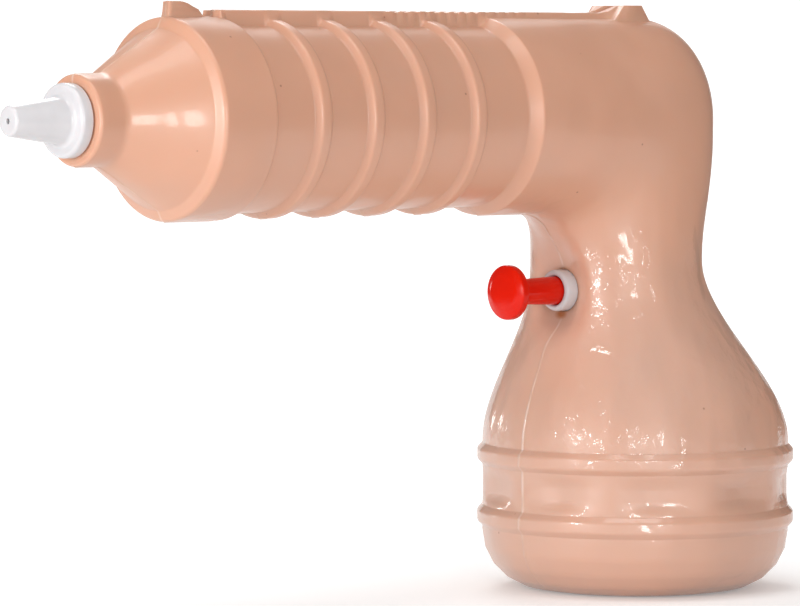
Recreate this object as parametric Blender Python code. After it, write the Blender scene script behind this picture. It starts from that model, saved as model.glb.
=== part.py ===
"""A toy water squirter, as separate pieces at their real size.

Two moulded half shells make one hollow vessel: a hooped barrel, a neck to hold it by and a round
tank. A spring-loaded pump in the neck draws water through a dip tube and sends it along a hose to
the nozzle. A plug under the tank closes the filling hole.

Metres, +Z up, the barrel points along -X, and the seam between the shells lies in the plane y = 0.
The origin is under the middle of the whole toy, at the height that the tank stands on.
"""

import math

import bmesh
import bpy
from mathutils import Matrix, Vector

# Clearances
SEAM_GAP = 0.0003
SEAT_GAP = 0.0003
SLIP = 0.00015
BALL_GAP = 0.00005
OVERLAP = 0.001
EDGE = 0.0004

# The whole toy, measured from the tank's upright axis
FRONT_REACH = 0.182
WALL = 0.0016

# Barrel: heights are above the surface that the tank stands on, stations are from the tank's axis
BARREL_Z = 0.1110
BARREL_R = 0.0227
CHAMBER_FRONT_X = -0.050
WAIST_STEP = 0.0020
STEP_LENGTH = 0.003
HOOP_FIRST_X = -0.068
HOOP_PITCH = 0.0150
HOOPS = 4
HOOP_PROUD = 0.0014
HOOP_WIDTH = 0.0050
BAND_REAR_X = -0.126
BAND_LENGTH = 0.015
BAND_PROUD = 0.0015
CONE_STEP = 0.0010
CONE_FRONT_R = 0.0100
CONE_LAND = 0.0070
BODY_FRONT_X = -0.165
NOZZLE_SEAT_LENGTH = 0.012
FILLET = 0.0012

# Sight rail and sights on top of the barrel
RAIL_HALF_WIDTH = 0.0035
RAIL_PROUD = 0.0010
RAIL_DEPTH = 0.0080
SIGHT_PROUD = 0.0018
SIGHT_LENGTH = 0.009
SIGHT_RAKE = 0.0018
BLADE_SLOPE = 0.0054
REAR_SIGHT_HALF_WIDTH = 0.0060
SIGHT_NOTCH_HALF_WIDTH = 0.0016
FRONT_SIGHT_HALF_WIDTH = 0.0014

# Elbow, neck and tank
ELBOW_OVERHANG = 0.0040
ELBOW_ROUND = 0.0200
ELBOW_TUCK_ANGLE = math.radians(60)
ELBOW_STRAIGHT = 0.0010
NECK_X = -0.0063
NECK_HALF_LENGTH = 0.0200
NECK_HALF_WIDTH = 0.0203
NECK_FILLET = 0.0100
SHOULDER_Z = 0.0345
FRONT_SHARE = 0.83
REAR_SHARE = 1.0
TANK_R = 0.0360
TANK_HOOP_PROUD = 0.0012
TANK_HOOP_WIDTH = 0.0050
LOWER_HOOP_Z = 0.0170
UPPER_HOOP_Z = 0.0315
FOOT_RING = 0.0030
FLUTES = 10
FLUTE_DEPTH = 0.0012
FLUTE_RUNOUT = 0.0025

# Filling hole under the tank
RECESS_R = 0.0185
RECESS_HEIGHT = 0.0055
FILLER_HOLE_R = 0.0076
BUSH_SHANK_R = FILLER_HOLE_R - SEAT_GAP
BUSH_BORE_R = 0.0055
BUSH_FLANGE_R = 0.0098
BUSH_FLANGE_THICKNESS = 0.0012
BUSH_SHANK_HEIGHT = 0.0048
PLUG_HEAD_R = 0.0088
PLUG_HEAD_THICKNESS = 0.0018
PLUG_SPIGOT_HEIGHT = 0.0066
PLUG_WALL = 0.0013
PLUG_GRIP_LENGTH = 0.0120
PLUG_GRIP_WIDTH = 0.0022
PLUG_GRIP_HEIGHT = 0.0013

# Pump: stations are from the front face of its cylinder, going back
PUMP_Z = 0.0705
DIMPLE_R = 0.0090
DIMPLE_FLOOR_R = 0.0062
DIMPLE_DEPTH = 0.0034
DIMPLE_REACH = 0.0060
BOSS_R = 0.0106
BOSS_DEPTH = 0.0055
CYLINDER_R = 0.0048
CYLINDER_BORE_R = 0.0040
CYLINDER_LENGTH = 0.0260
CYLINDER_PROUD = 0.0034
CYLINDER_END = 0.0020
LIP_THICKNESS = 0.0020
CYLINDER_FLANGE_R = 0.0070
CYLINDER_FLANGE_THICKNESS = 0.0015
SEAL_SECTION_R = 0.0007
PORT_R = 0.0012
SADDLE_THICKNESS = 0.0020
SADDLE_HALF_HEIGHT = 0.0095

# Plunger
STEM_R = 0.0033
STEM_FRONT_R = 0.0029
STROKE = 0.0105
STOP_LEFT = 0.0012
PISTON_LENGTH = 0.0045
PISTON_PLAY = 0.00025
SPRING_SPIGOT_R = 0.0020
SPRING_SPIGOT_LENGTH = 0.0030
KNOB_R = 0.0063
KNOB_HUB_R = 0.0046
KNOB_HUB_LENGTH = 0.0013
KNOB_RIM = 0.0020
KNOB_FACE_R = 0.0042
KNOB_FACE_RISE = 0.0008
KNOB_DOME = 0.0012
KNOB_FACE_ROUND = 0.0040
RIM_ROUND = 0.0009
KNOB_SPIGOT_R = 0.0020
KNOB_SPIGOT_LENGTH = 0.0026
SPRING_WIRE_R = 0.00025
SPRING_MEAN_R = 0.0030
SPRING_COILS = 8
CLOSED_PITCH = 2.6

# Valves
VALVE_STATION = 0.0315
HUB_R = 0.0066
SOCKET_DEPTH = 0.0075
TOWER_R = 0.0048
TOWER_DOWN = 0.0130
TOWER_UP = 0.0160
CHAMBER_R = 0.0022
PASSAGE_HALF_LENGTH = 0.0035
BALL_R = 0.0016
FITTING_BORE_R = 0.0008
FITTING_FLANGE_R = 0.0040
FITTING_FLANGE_THICKNESS = 0.0015
INLET_SPIGOT_LENGTH = 0.0055
OUTLET_SPIGOT_LENGTH = 0.0050
BARB_LENGTH = 0.0080
BARBS = 3
BYPASS_WIDTH = 0.0010
BYPASS_DEPTH = 0.0012
VALVE_WIRE_R = 0.0001
VALVE_SPRING_R = 0.0013
VALVE_COILS = 6

# Tubes
HOSE_R = 0.0025
HOSE_BORE_R = 0.0015
BARB_R = HOSE_BORE_R - SLIP
HOSE_BEND_R = 0.0140
HOSE_SAG = 0.0020
HOSE_SLACK_R = 0.0600
DIP_BEND_R = 0.0100
DIP_BEND_DROP = 0.0070
DIP_CORNER_Z = 0.0330
DIP_WALL_GAP = 0.0019
DIP_END_GAP = 0.0022

# Nozzle
NOZZLE_FLANGE_R = 0.0080
NOZZLE_FLANGE_THICKNESS = 0.0030
NOZZLE_ROOT_R = 0.0052
NOZZLE_TIP_R = 0.0032
NOZZLE_BORE_R = 0.0047
NOZZLE_SHANK_LENGTH = 0.0080
ORIFICE_R = 0.0006
ORIFICE_LENGTH = 0.0040

# Faceting
SMALL_FILLET = 0.0018
LARGE_FILLET_STEPS = 4
SHARED_EDGE = 0.48
WHOLE_EDGE = 0.98
BODY_STEPS = 40
CAVITY_STEPS = 24
ELBOW_STEPS = 11
ELBOW_EASE = 12
SHOULDER_STEPS = 10
SMALL_STEPS = 24
TINY_STEPS = 16
HOSE_SIDES = 8
SEAL_SIDES = 6
COIL_STEPS = 8
WIRE_SIDES = 5

# Places worked out from the values above
WAIST_R = BARREL_R - WAIST_STEP
HOOP_R = WAIST_R + HOOP_PROUD
BAND_R = WAIST_R + BAND_PROUD
CONE_REAR_R = WAIST_R - CONE_STEP
BAND_FRONT_X = BAND_REAR_X - BAND_LENGTH
RAIL_TOP = BARREL_R + RAIL_PROUD
RAIL_ROOT = BARREL_R - RAIL_DEPTH
SIGHT_TOP = RAIL_TOP + SIGHT_PROUD
NECK_FRONT_X = NECK_X - NECK_HALF_LENGTH
NECK_REAR_X = NECK_X + NECK_HALF_LENGTH
ELBOW_REAR_X = NECK_REAR_X + ELBOW_OVERHANG
RAIL_REAR_X = ELBOW_REAR_X - ELBOW_ROUND
ELBOW_X = NECK_FRONT_X - NECK_FILLET
ELBOW_Z = BARREL_Z - BARREL_R - NECK_FILLET
SHOULDER_HEIGHT = ELBOW_Z - ELBOW_STRAIGHT - SHOULDER_Z
SHOULDER_FRONT_HEIGHT = SHOULDER_HEIGHT * FRONT_SHARE
SHOULDER_REAR_HEIGHT = SHOULDER_HEIGHT * REAR_SHARE
TANK_HOOP_R = TANK_R + TANK_HOOP_PROUD
TANK_X = (FRONT_REACH - TANK_HOOP_R) / 2
FOOT_R = RECESS_R + FOOT_RING
FOOT_ROUND = TANK_R - FOOT_R
DIP_END_X = RECESS_R + WALL + DIP_WALL_GAP + HOSE_R
CAVITY_FLOOR_Z = RECESS_HEIGHT + WALL
BOSS_FACE_X = NECK_FRONT_X + DIMPLE_DEPTH
PUMP_X = BOSS_FACE_X - CYLINDER_PROUD
VALVE_X = PUMP_X + VALVE_STATION
PISTON_R = CYLINDER_BORE_R - PISTON_PLAY
PISTON_STATION = LIP_THICKNESS + SEAT_GAP
KNOB_STATION = -(STROKE + STOP_LEFT)
BALL_DROP = math.sqrt(BALL_R**2 - PORT_R**2) + BALL_GAP
INLET_BALL_DROP = math.sqrt(BALL_R**2 - FITTING_BORE_R**2) + BALL_GAP
NOZZLE_SHANK_R = NOZZLE_BORE_R - SEAT_GAP
BOSS_STATION = CYLINDER_PROUD + BOSS_DEPTH
FLANGE_STATION = BOSS_STATION + SEAT_GAP + 2 * SEAL_SECTION_R + SEAT_GAP
SADDLE_STATION = FLANGE_STATION + CYLINDER_FLANGE_THICKNESS + SEAT_GAP


def clear_scene():
    for old in list(bpy.data.objects):
        bpy.data.objects.remove(old)


def plastic(name, colour, roughness, metallic=0.0):
    """A Principled material of that sRGB-like linear colour."""
    made = bpy.data.materials.new(name)
    made.use_nodes = True
    shader = made.node_tree.nodes["Principled BSDF"]
    shader.inputs["Base Color"].default_value = (*colour, 1.0)
    shader.inputs["Roughness"].default_value = roughness
    shader.inputs["Metallic"].default_value = metallic
    made.diffuse_color = (*colour, 1.0)
    return made


def empty(name, place, parent=None):
    made = bpy.data.objects.new(name, None)
    bpy.context.collection.objects.link(made)
    made.location = place
    made.parent = parent
    return made


def piece(name, shape, material, parent, place=(0, 0, 0)):
    """An object from a bmesh, shaded smooth except along its sharp edges."""
    bmesh.ops.recalc_face_normals(shape, faces=shape.faces)
    if shape.calc_volume(signed=True) < 0:
        bmesh.ops.reverse_faces(shape, faces=shape.faces)
    mesh = bpy.data.meshes.new(name)
    shape.to_mesh(mesh)
    shape.free()
    mesh.shade_smooth()
    mesh.set_sharp_from_angle(angle=math.radians(35))
    if material:
        mesh.materials.append(material)
    made = bpy.data.objects.new(name, mesh)
    bpy.context.collection.objects.link(made)
    made.parent = parent
    made.location = place
    return made


def helper(name, shape, parent, place=(0, 0, 0)):
    """A cutter or a form to be joined: it shapes other pieces and isn't one itself."""
    made = piece(name, shape, None, parent, place)
    made.hide_render = True
    made.display_type = "WIRE"
    return made


def combine(target, other, operation):
    step = target.modifiers.new(f"{operation.lower()}_{other.name}", "BOOLEAN")
    step.object = other
    step.operation = operation
    step.solver = "EXACT"


def rounded(corners, closed=False):
    """The outline through corners (a, b, fillet radius): a small fillet is cut straight across and
    a large one is an arc in straight pieces. Two fillets on one edge share it."""
    outline = []
    last = len(corners) - 1
    for i, (a, b, fillet) in enumerate(corners):
        corner = Vector((a, b))
        if fillet <= 0 or (not closed and i in (0, last)):
            outline.append(corner)
            continue
        reach = math.inf
        sides = []
        for neighbour in (corners[i - 1], corners[(i + 1) % len(corners)]):
            side = Vector(neighbour[:2]) - corner
            sides.append(side)
            reach = min(reach, side.length * (SHARED_EDGE if neighbour[2] > 0 else WHOLE_EDGE))
        back, ahead = sides
        half = back.angle(ahead) / 2
        reach = min(reach, fillet / math.tan(half))
        radius = reach * math.tan(half)
        bisector = (back.normalized() + ahead.normalized()).normalized()
        centre = corner + bisector * radius / math.sin(half)
        start = corner + back.normalized() * reach - centre
        end = corner + ahead.normalized() * reach - centre
        turn = math.atan2(start.cross(end), start.dot(end))
        segments = 1 if radius < SMALL_FILLET else LARGE_FILLET_STEPS
        for k in range(segments + 1):
            outline.append(centre + Matrix.Rotation(turn * k / segments, 2) @ start)
    return outline


def turned(outline, steps, along="Z", closed=False):
    """The solid that an outline of (radius, station) points makes about Z or, laid over, about X."""
    shape = bmesh.new()
    half_step = Matrix.Rotation(math.pi / steps, 4, "Z")
    points = [shape.verts.new(half_step @ Vector((r, 0, h))) for r, h in outline]
    for a, b in zip(points, points[1:]):
        shape.edges.new((a, b))
    if closed:
        shape.edges.new((points[-1], points[0]))
    bmesh.ops.spin(
        shape, geom=shape.verts[:] + shape.edges[:], cent=(0, 0, 0), axis=(0, 0, 1),
        angle=math.tau, steps=steps, use_merge=True,
    )
    bmesh.ops.remove_doubles(shape, verts=shape.verts, dist=1e-7)
    on_axis = [v for v in shape.verts if math.hypot(v.co.x, v.co.y) < 1e-7]
    level = [v for v in on_axis if all(abs(e.other_vert(v).co.z - v.co.z) < 1e-7 for e in v.link_edges)]
    bmesh.ops.dissolve_verts(shape, verts=level)
    if along == "X":
        bmesh.ops.rotate(shape, verts=shape.verts, matrix=Matrix.Rotation(math.pi / 2, 3, "Y"))
    return shape


def rod(radius, start, end, steps, along="Z"):
    return turned([(0, start), (radius, start), (radius, end), (0, end)], steps, along)


def block(low, high):
    """A box between two corners."""
    shape = bmesh.new()
    low, high = Vector(low), Vector(high)
    size = Matrix.Diagonal((high - low).to_4d())
    size[3][3] = 1
    place = Matrix.Translation((low + high) / 2) @ size
    bmesh.ops.create_cube(shape, size=1, matrix=place)
    return shape


def lofted(rings):
    """A closed solid through rings of points, each ring from low to high."""
    shape = bmesh.new()
    loops = [[shape.verts.new(p) for p in ring] for ring in rings]
    for lower, upper in zip(loops, loops[1:]):
        for i in range(len(lower)):
            j = (i + 1) % len(lower)
            shape.faces.new((lower[i], lower[j], upper[j], upper[i]))
    shape.faces.new(loops[0][::-1])
    shape.faces.new(loops[-1])
    return shape


def swept_rings(route, radius, sides):
    """Circles along a route in the plane y = 0, each one halving the turn at its point."""
    rings = []
    for i, point in enumerate(route):
        before = (point - route[i - 1]).normalized() if i else Vector()
        after = (route[i + 1] - point).normalized() if i + 1 < len(route) else Vector()
        heading = (before + after).normalized()
        across = Vector((0, 1, 0))
        up = heading.cross(across).normalized()
        angles = [math.tau * (k + 0.5) / sides for k in range(sides)]
        rings.append([point + (across * math.cos(a) + up * math.sin(a)) * radius for a in angles])
    return rings


def hose_shape(corners, radius, bore_radius, sides):
    """A tube with its bore, through corners (x, z, bend radius): an outer and an inner skin, joined
    by a ring at each end."""
    route = [Vector((x, 0, z)) for x, z in rounded(corners)]
    shape = bmesh.new()
    outer = [[shape.verts.new(p) for p in ring] for ring in swept_rings(route, radius, sides)]
    inner = [[shape.verts.new(p) for p in ring] for ring in swept_rings(route, bore_radius, sides)]
    strips = list(zip(outer, outer[1:])) + list(zip(inner[1:], inner))
    strips += [(inner[0], outer[0]), (outer[-1], inner[-1])]
    for lower, upper in strips:
        for i in range(sides):
            j = (i + 1) % sides
            shape.faces.new((lower[i], lower[j], upper[j], upper[i]))
    return shape


def spring_shape(length, mean_radius, wire_radius, coils, along):
    """A compression spring from 0 to length, its wire one tube with a closed coil at each end."""
    count = coils * COIL_STEPS
    free = length - 2 * wire_radius
    end_pitch = CLOSED_PITCH * wire_radius
    middle = free - 2 * end_pitch
    rings = []
    for n in range(count + 1):
        turns = n / COIL_STEPS
        if turns < 1:
            height = end_pitch * turns
        elif turns > coils - 1:
            height = free - end_pitch * (coils - turns)
        else:
            height = end_pitch + middle * (turns - 1) / (coils - 2)
        angle = math.tau * turns
        outward = Vector((math.cos(angle), math.sin(angle), 0))
        centre = outward * mean_radius + Vector((0, 0, height + wire_radius))
        around = [math.tau * k / WIRE_SIDES for k in range(WIRE_SIDES)]
        rings.append([
            centre + (outward * math.cos(a) + Vector((0, 0, 1)) * math.sin(a)) * wire_radius
            for a in around
        ])
    shape = lofted(rings)
    if along == "X":
        bmesh.ops.rotate(shape, verts=shape.verts, matrix=Matrix.Rotation(math.pi / 2, 3, "Y"))
    return shape


def smooth(t):
    """A level start and a level end: 0 up to t = 0, 1 from t = 1."""
    t = min(max(t, 0), 1)
    return t * t * (3 - 2 * t)


def barrel_outline():
    """The barrel's skin as (radius, station) points from the nozzle's seat back to the elbow."""
    corners = [
        (CONE_FRONT_R - EDGE, BODY_FRONT_X, 0),
        (CONE_FRONT_R, BODY_FRONT_X + EDGE, 0),
        (CONE_FRONT_R, BODY_FRONT_X + CONE_LAND, CONE_LAND / 2),
        (CONE_REAR_R, BAND_FRONT_X - FILLET, 0),
        (BAND_R, BAND_FRONT_X, FILLET),
        (BAND_R, BAND_REAR_X - FILLET, FILLET),
        (WAIST_R, BAND_REAR_X, 0),
    ]
    for n in reversed(range(HOOPS)):
        middle = HOOP_FIRST_X - n * HOOP_PITCH
        corners += [
            (WAIST_R, middle - HOOP_WIDTH / 2, 0),
            (HOOP_R, middle - HOOP_WIDTH / 4, FILLET),
            (HOOP_R, middle + HOOP_WIDTH / 4, FILLET),
            (WAIST_R, middle + HOOP_WIDTH / 2, 0),
        ]
    corners += [
        (WAIST_R, CHAMBER_FRONT_X - STEP_LENGTH, FILLET),
        (BARREL_R, CHAMBER_FRONT_X, FILLET),
        (BARREL_R, ELBOW_X - FILLET, 0),
    ]
    return rounded(corners)


def barrel_cavity_outline():
    """The hollow in the barrel, a wall's thickness in from the skin."""
    cone_x = BAND_FRONT_X - FILLET
    front_x = BODY_FRONT_X + NOZZLE_SEAT_LENGTH
    slope = (CONE_REAR_R - CONE_FRONT_R) / (cone_x - BODY_FRONT_X - CONE_LAND)
    wall_across = WALL * math.hypot(1, slope)
    front_r = CONE_REAR_R - slope * (cone_x - max(front_x, BODY_FRONT_X + CONE_LAND)) - wall_across
    return [
        Vector((front_r, front_x)),
        Vector((CONE_REAR_R - wall_across, cone_x)),
        Vector((WAIST_R - WALL, BAND_REAR_X)),
        Vector((WAIST_R - WALL, CHAMBER_FRONT_X - STEP_LENGTH + WALL / 2)),
        Vector((BARREL_R - WALL, CHAMBER_FRONT_X + WALL / 2)),
        Vector((BARREL_R - WALL, ELBOW_X - FILLET)),
    ]


def tank_outline():
    """The tank's skin as (radius, height) points from its shoulder, past two hoops, to its foot."""
    low, high = flute_span()
    corners = []
    for middle in (UPPER_HOOP_Z, LOWER_HOOP_Z):
        corners += [
            (TANK_R, middle + TANK_HOOP_WIDTH / 2, 0),
            (TANK_HOOP_R, middle + TANK_HOOP_WIDTH / 4, FILLET),
            (TANK_HOOP_R, middle - TANK_HOOP_WIDTH / 4, FILLET),
            (TANK_R, middle - TANK_HOOP_WIDTH / 2, 0),
        ]
        if middle == UPPER_HOOP_Z:
            corners += [(TANK_R, high - FLUTE_RUNOUT, 0), (TANK_R, low + FLUTE_RUNOUT, 0)]
    return rounded([*corners, (TANK_R, 0, FOOT_ROUND), (FOOT_R, 0, 0)])


def tank_cavity_outline():
    wall_r = TANK_R - WALL - FLUTE_DEPTH / 2
    return rounded([
        (wall_r, SHOULDER_Z - WALL, 0),
        (wall_r, WALL, FOOT_ROUND - WALL),
        (FOOT_R, WALL, 0),
    ])


def elbow_reach(turn):
    """How far the elbow's outer line is from the middle of the neck's front fillet. The line is the
    barrel's top, a rounded corner and the neck's rear, which tucks in towards the neck. A turn of
    0 looks up and a quarter turn looks back."""
    heading = Vector((math.sin(turn), math.cos(turn)))
    tuck = smooth((turn - ELBOW_TUCK_ANGLE) / (math.pi / 2 - ELBOW_TUCK_ANGLE))
    rear_x = ELBOW_REAR_X + (NECK_REAR_X - ELBOW_REAR_X) * tuck
    room = Vector((rear_x - ELBOW_X, BARREL_Z + BARREL_R - ELBOW_Z))
    straight = min(room[i] / heading[i] for i in (0, 1) if heading[i] > 1e-9)
    centre = room - Vector((ELBOW_ROUND, ELBOW_ROUND))
    reached = heading * straight
    if reached.x <= centre.x or reached.y <= centre.y:
        return straight
    along = heading.dot(centre)
    return along + math.sqrt(along**2 - centre.length_squared + ELBOW_ROUND**2)


def body_levels(barrel, tank, inset, elbow_steps, shoulder_steps):
    """(inner point, outer point, half width) of every ring from the nozzle's seat to the foot. The
    inner point runs along the barrel's underside and down the neck's front, the outer one along the
    barrel's top and down the rear. The elbow's rings are closest where it is most curved."""
    levels = []
    for radius, x in barrel:
        levels.append((Vector((x, BARREL_Z - radius)), Vector((x, BARREL_Z + radius)), radius))
    hub = Vector((ELBOW_X, ELBOW_Z))
    for n in range(elbow_steps + 1):
        turn = math.pi / 2 * (n / elbow_steps + math.sin(math.tau * n / elbow_steps) / ELBOW_EASE)
        heading = Vector((math.sin(turn), math.cos(turn)))
        half_width = BARREL_R + (NECK_HALF_WIDTH - BARREL_R) * smooth(n / elbow_steps) - inset
        inner = hub + heading * (NECK_FILLET + inset)
        levels.append((inner, hub + heading * (elbow_reach(turn) - inset), half_width))
    wide = TANK_R - inset
    for n in reversed(range(shoulder_steps + 1)):
        rise = n / shoulder_steps * SHOULDER_HEIGHT
        share = smooth(rise / SHOULDER_REAR_HEIGHT)
        front = -wide + (wide + NECK_FRONT_X + inset) * smooth(rise / SHOULDER_FRONT_HEIGHT)
        rear = wide + (NECK_REAR_X - inset - wide) * share
        half_width = wide + (NECK_HALF_WIDTH - inset - wide) * share
        levels.append((Vector((front, SHOULDER_Z + rise)), Vector((rear, SHOULDER_Z + rise)), half_width))
    for radius, height in tank:
        levels.append((Vector((-radius, height)), Vector((radius, height)), radius))
    return levels


def flute_span():
    """The heights between the tank's hoops."""
    return LOWER_HOOP_Z + TANK_HOOP_WIDTH / 2, UPPER_HOOP_Z - TANK_HOOP_WIDTH / 2


def flute_depth(height):
    """Full between the hoops, running out to nothing at them."""
    low, high = flute_span()
    edge = FLUTE_RUNOUT / 2
    return FLUTE_DEPTH if low + edge < height < high - edge else 0.0


def ring(level, steps, fluted=False):
    """An oval of points between a level's inner and outer points, even about the seam's plane."""
    inner, outer, half_width = level
    middle = (inner + outer) / 2
    half = (outer - inner) / 2
    points = []
    for k in range(steps):
        angle = math.tau * (k + 0.5) / steps
        share = 1
        if fluted:
            share -= flute_depth(middle.y) * (1 - math.cos(FLUTES * angle)) / 2 / half.length
        at = middle + half * share * math.cos(angle)
        points.append((at.x, half_width * share * math.sin(angle), at.y))
    return points


def sight_forms(parent):
    """The rail along the barrel's top with a notched rear sight and a front blade."""
    rail = block(
        (BAND_REAR_X - OVERLAP, -RAIL_HALF_WIDTH, BARREL_Z + RAIL_ROOT),
        (RAIL_REAR_X, RAIL_HALF_WIDTH, BARREL_Z + RAIL_TOP),
    )
    rear_sight = block(
        (RAIL_REAR_X - SIGHT_LENGTH, -REAR_SIGHT_HALF_WIDTH, BARREL_Z + RAIL_ROOT),
        (RAIL_REAR_X + OVERLAP, REAR_SIGHT_HALF_WIDTH, BARREL_Z + SIGHT_TOP),
    )
    for corner in rear_sight.verts:
        if corner.co.z > BARREL_Z + RAIL_TOP:
            corner.co.x += SIGHT_RAKE if corner.co.x < RAIL_REAR_X - SIGHT_LENGTH / 2 else -SIGHT_RAKE
    blade = block(
        (BAND_FRONT_X + FILLET, -FRONT_SIGHT_HALF_WIDTH, BARREL_Z + RAIL_ROOT),
        (BAND_FRONT_X + FILLET + SIGHT_LENGTH, FRONT_SIGHT_HALF_WIDTH, BARREL_Z + SIGHT_TOP),
    )
    for corner in blade.verts:
        if corner.co.x > BAND_FRONT_X + SIGHT_LENGTH and corner.co.z > BARREL_Z + RAIL_TOP:
            corner.co.x -= BLADE_SLOPE
    return [
        helper("rail_form", rail, parent),
        helper("rear_sight_form", rear_sight, parent),
        helper("front_sight_form", blade, parent),
    ]


def housing_solid(frame, pump):
    """Both shells as one solid: the skin, less the hollow, with the bosses and holes for the pump,
    the nozzle and the filler."""
    levels = body_levels(barrel_outline(), tank_outline(), 0, ELBOW_STEPS, SHOULDER_STEPS)
    skin = helper("body_form", lofted([ring(level, BODY_STEPS, fluted=True) for level in levels]), frame)
    for form in sight_forms(frame):
        combine(skin, form, "UNION")

    levels = body_levels(barrel_cavity_outline(), tank_cavity_outline(), WALL, ELBOW_STEPS, SHOULDER_STEPS)
    hollow = helper("hollow_form", lofted([ring(level, CAVITY_STEPS) for level in levels]), frame)
    boss = helper("boss_form", rod(BOSS_R, -DIMPLE_REACH, BOSS_STATION, SMALL_STEPS, "X"), pump)
    punt = helper("punt_form", rod(RECESS_R + WALL, -OVERLAP, CAVITY_FLOOR_Z, CAVITY_STEPS), frame)
    saddle = block(
        (SADDLE_STATION, -2 * NECK_HALF_WIDTH, -SADDLE_HALF_HEIGHT),
        (SADDLE_STATION + SADDLE_THICKNESS, 2 * NECK_HALF_WIDTH, SADDLE_HALF_HEIGHT),
    )
    for form in (boss, punt, helper("saddle_form", saddle, pump)):
        combine(hollow, form, "DIFFERENCE")
    combine(skin, hollow, "DIFFERENCE")

    dimple = turned([
        (0, -DIMPLE_REACH),
        (DIMPLE_R, -DIMPLE_REACH),
        (DIMPLE_R, CYLINDER_PROUD - DIMPLE_DEPTH),
        (DIMPLE_FLOOR_R, CYLINDER_PROUD),
        (0, CYLINDER_PROUD),
    ], SMALL_STEPS, "X")
    sleeve_r = CYLINDER_R + SEAT_GAP
    pump_hole = rod(sleeve_r, -OVERLAP, CYLINDER_LENGTH, SMALL_STEPS, "X")
    filler_hole = turned([
        (0, -OVERLAP),
        (RECESS_R, -OVERLAP),
        (RECESS_R, RECESS_HEIGHT),
        (FILLER_HOLE_R, RECESS_HEIGHT),
        (FILLER_HOLE_R, CAVITY_FLOOR_Z + OVERLAP),
        (0, CAVITY_FLOOR_Z + OVERLAP),
    ], SMALL_STEPS)
    nozzle_hole = rod(
        NOZZLE_BORE_R, BODY_FRONT_X - OVERLAP, BODY_FRONT_X + NOZZLE_SEAT_LENGTH + OVERLAP,
        SMALL_STEPS, "X",
    )
    notch = block(
        (RAIL_REAR_X - SIGHT_LENGTH - OVERLAP, -SIGHT_NOTCH_HALF_WIDTH, BARREL_Z + RAIL_TOP),
        (RAIL_REAR_X + 2 * OVERLAP, SIGHT_NOTCH_HALF_WIDTH, BARREL_Z + SIGHT_TOP + OVERLAP),
    )
    for cutter in (
        helper("dimple_cut", dimple, pump),
        helper("pump_hole", pump_hole, pump),
        helper("filler_hole", filler_hole, frame),
        helper("nozzle_hole", nozzle_hole, frame, (0, 0, BARREL_Z)),
        helper("notch_cut", notch, frame),
    ):
        combine(skin, cutter, "DIFFERENCE")
    return skin


def make_shells(frame, pump, material):
    """Left is the -Y side, as the hand that aims the toy sees it."""
    whole = housing_solid(frame, pump)
    bpy.context.view_layer.update()
    solid = bpy.data.meshes.new_from_object(whole.evaluated_get(bpy.context.evaluated_depsgraph_get()))
    solid.transform(Matrix.Translation(whole.location))
    solid.materials.clear()
    solid.materials.append(material)
    solid.shade_smooth()
    solid.set_sharp_from_angle(angle=math.radians(35))
    reach = 2 * FRONT_REACH
    for name, side in (("left_shell", -1), ("right_shell", 1)):
        near, far = sorted((side * SEAM_GAP / 2, side * reach))
        room = helper(f"{name}_side", block((-reach, near, -reach), (reach, far, reach)), frame)
        shell = bpy.data.objects.new(name, solid.copy())
        bpy.context.collection.objects.link(shell)
        shell.parent = frame
        combine(shell, room, "INTERSECT")


def make_cylinder(pump, material):
    """The pump's cylinder: a lip that guides the stem, a flange behind the wall and a ported end."""
    bore_end = CYLINDER_LENGTH - CYLINDER_END
    stem_hole_r = STEM_R + SLIP
    outline = rounded([
        (stem_hole_r, 0, EDGE),
        (CYLINDER_R, 0, RIM_ROUND),
        (CYLINDER_R, FLANGE_STATION, 0),
        (CYLINDER_FLANGE_R, FLANGE_STATION, 0),
        (CYLINDER_FLANGE_R, FLANGE_STATION + CYLINDER_FLANGE_THICKNESS, 0),
        (CYLINDER_R, FLANGE_STATION + CYLINDER_FLANGE_THICKNESS, 0),
        (CYLINDER_R, CYLINDER_LENGTH, 0),
        (PORT_R, CYLINDER_LENGTH, 0),
        (PORT_R, bore_end, 0),
        (CYLINDER_BORE_R, bore_end, 0),
        (CYLINDER_BORE_R, LIP_THICKNESS, 0),
        (stem_hole_r, LIP_THICKNESS, 0),
    ], closed=True)
    piece("pump_cylinder", turned(outline, SMALL_STEPS, "X", closed=True), material, pump)


def make_cylinder_seal(pump, material):
    """A rubber ring squeezed between the flange and the inside of the boss."""
    middle = BOSS_STATION + SEAT_GAP + SEAL_SECTION_R
    ring_r = CYLINDER_R + SLIP + SEAL_SECTION_R
    piece("cylinder_seal", ring_shape(ring_r, middle), material, pump)


def ring_shape(ring_r, station):
    """A rubber ring of round section about X."""
    angles = [math.tau * k / SEAL_SIDES for k in range(SEAL_SIDES)]
    outline = [
        (ring_r + SEAL_SECTION_R * math.cos(a), station + SEAL_SECTION_R * math.sin(a)) for a in angles
    ]
    return turned(outline, SMALL_STEPS, "X", closed=True)


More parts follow.
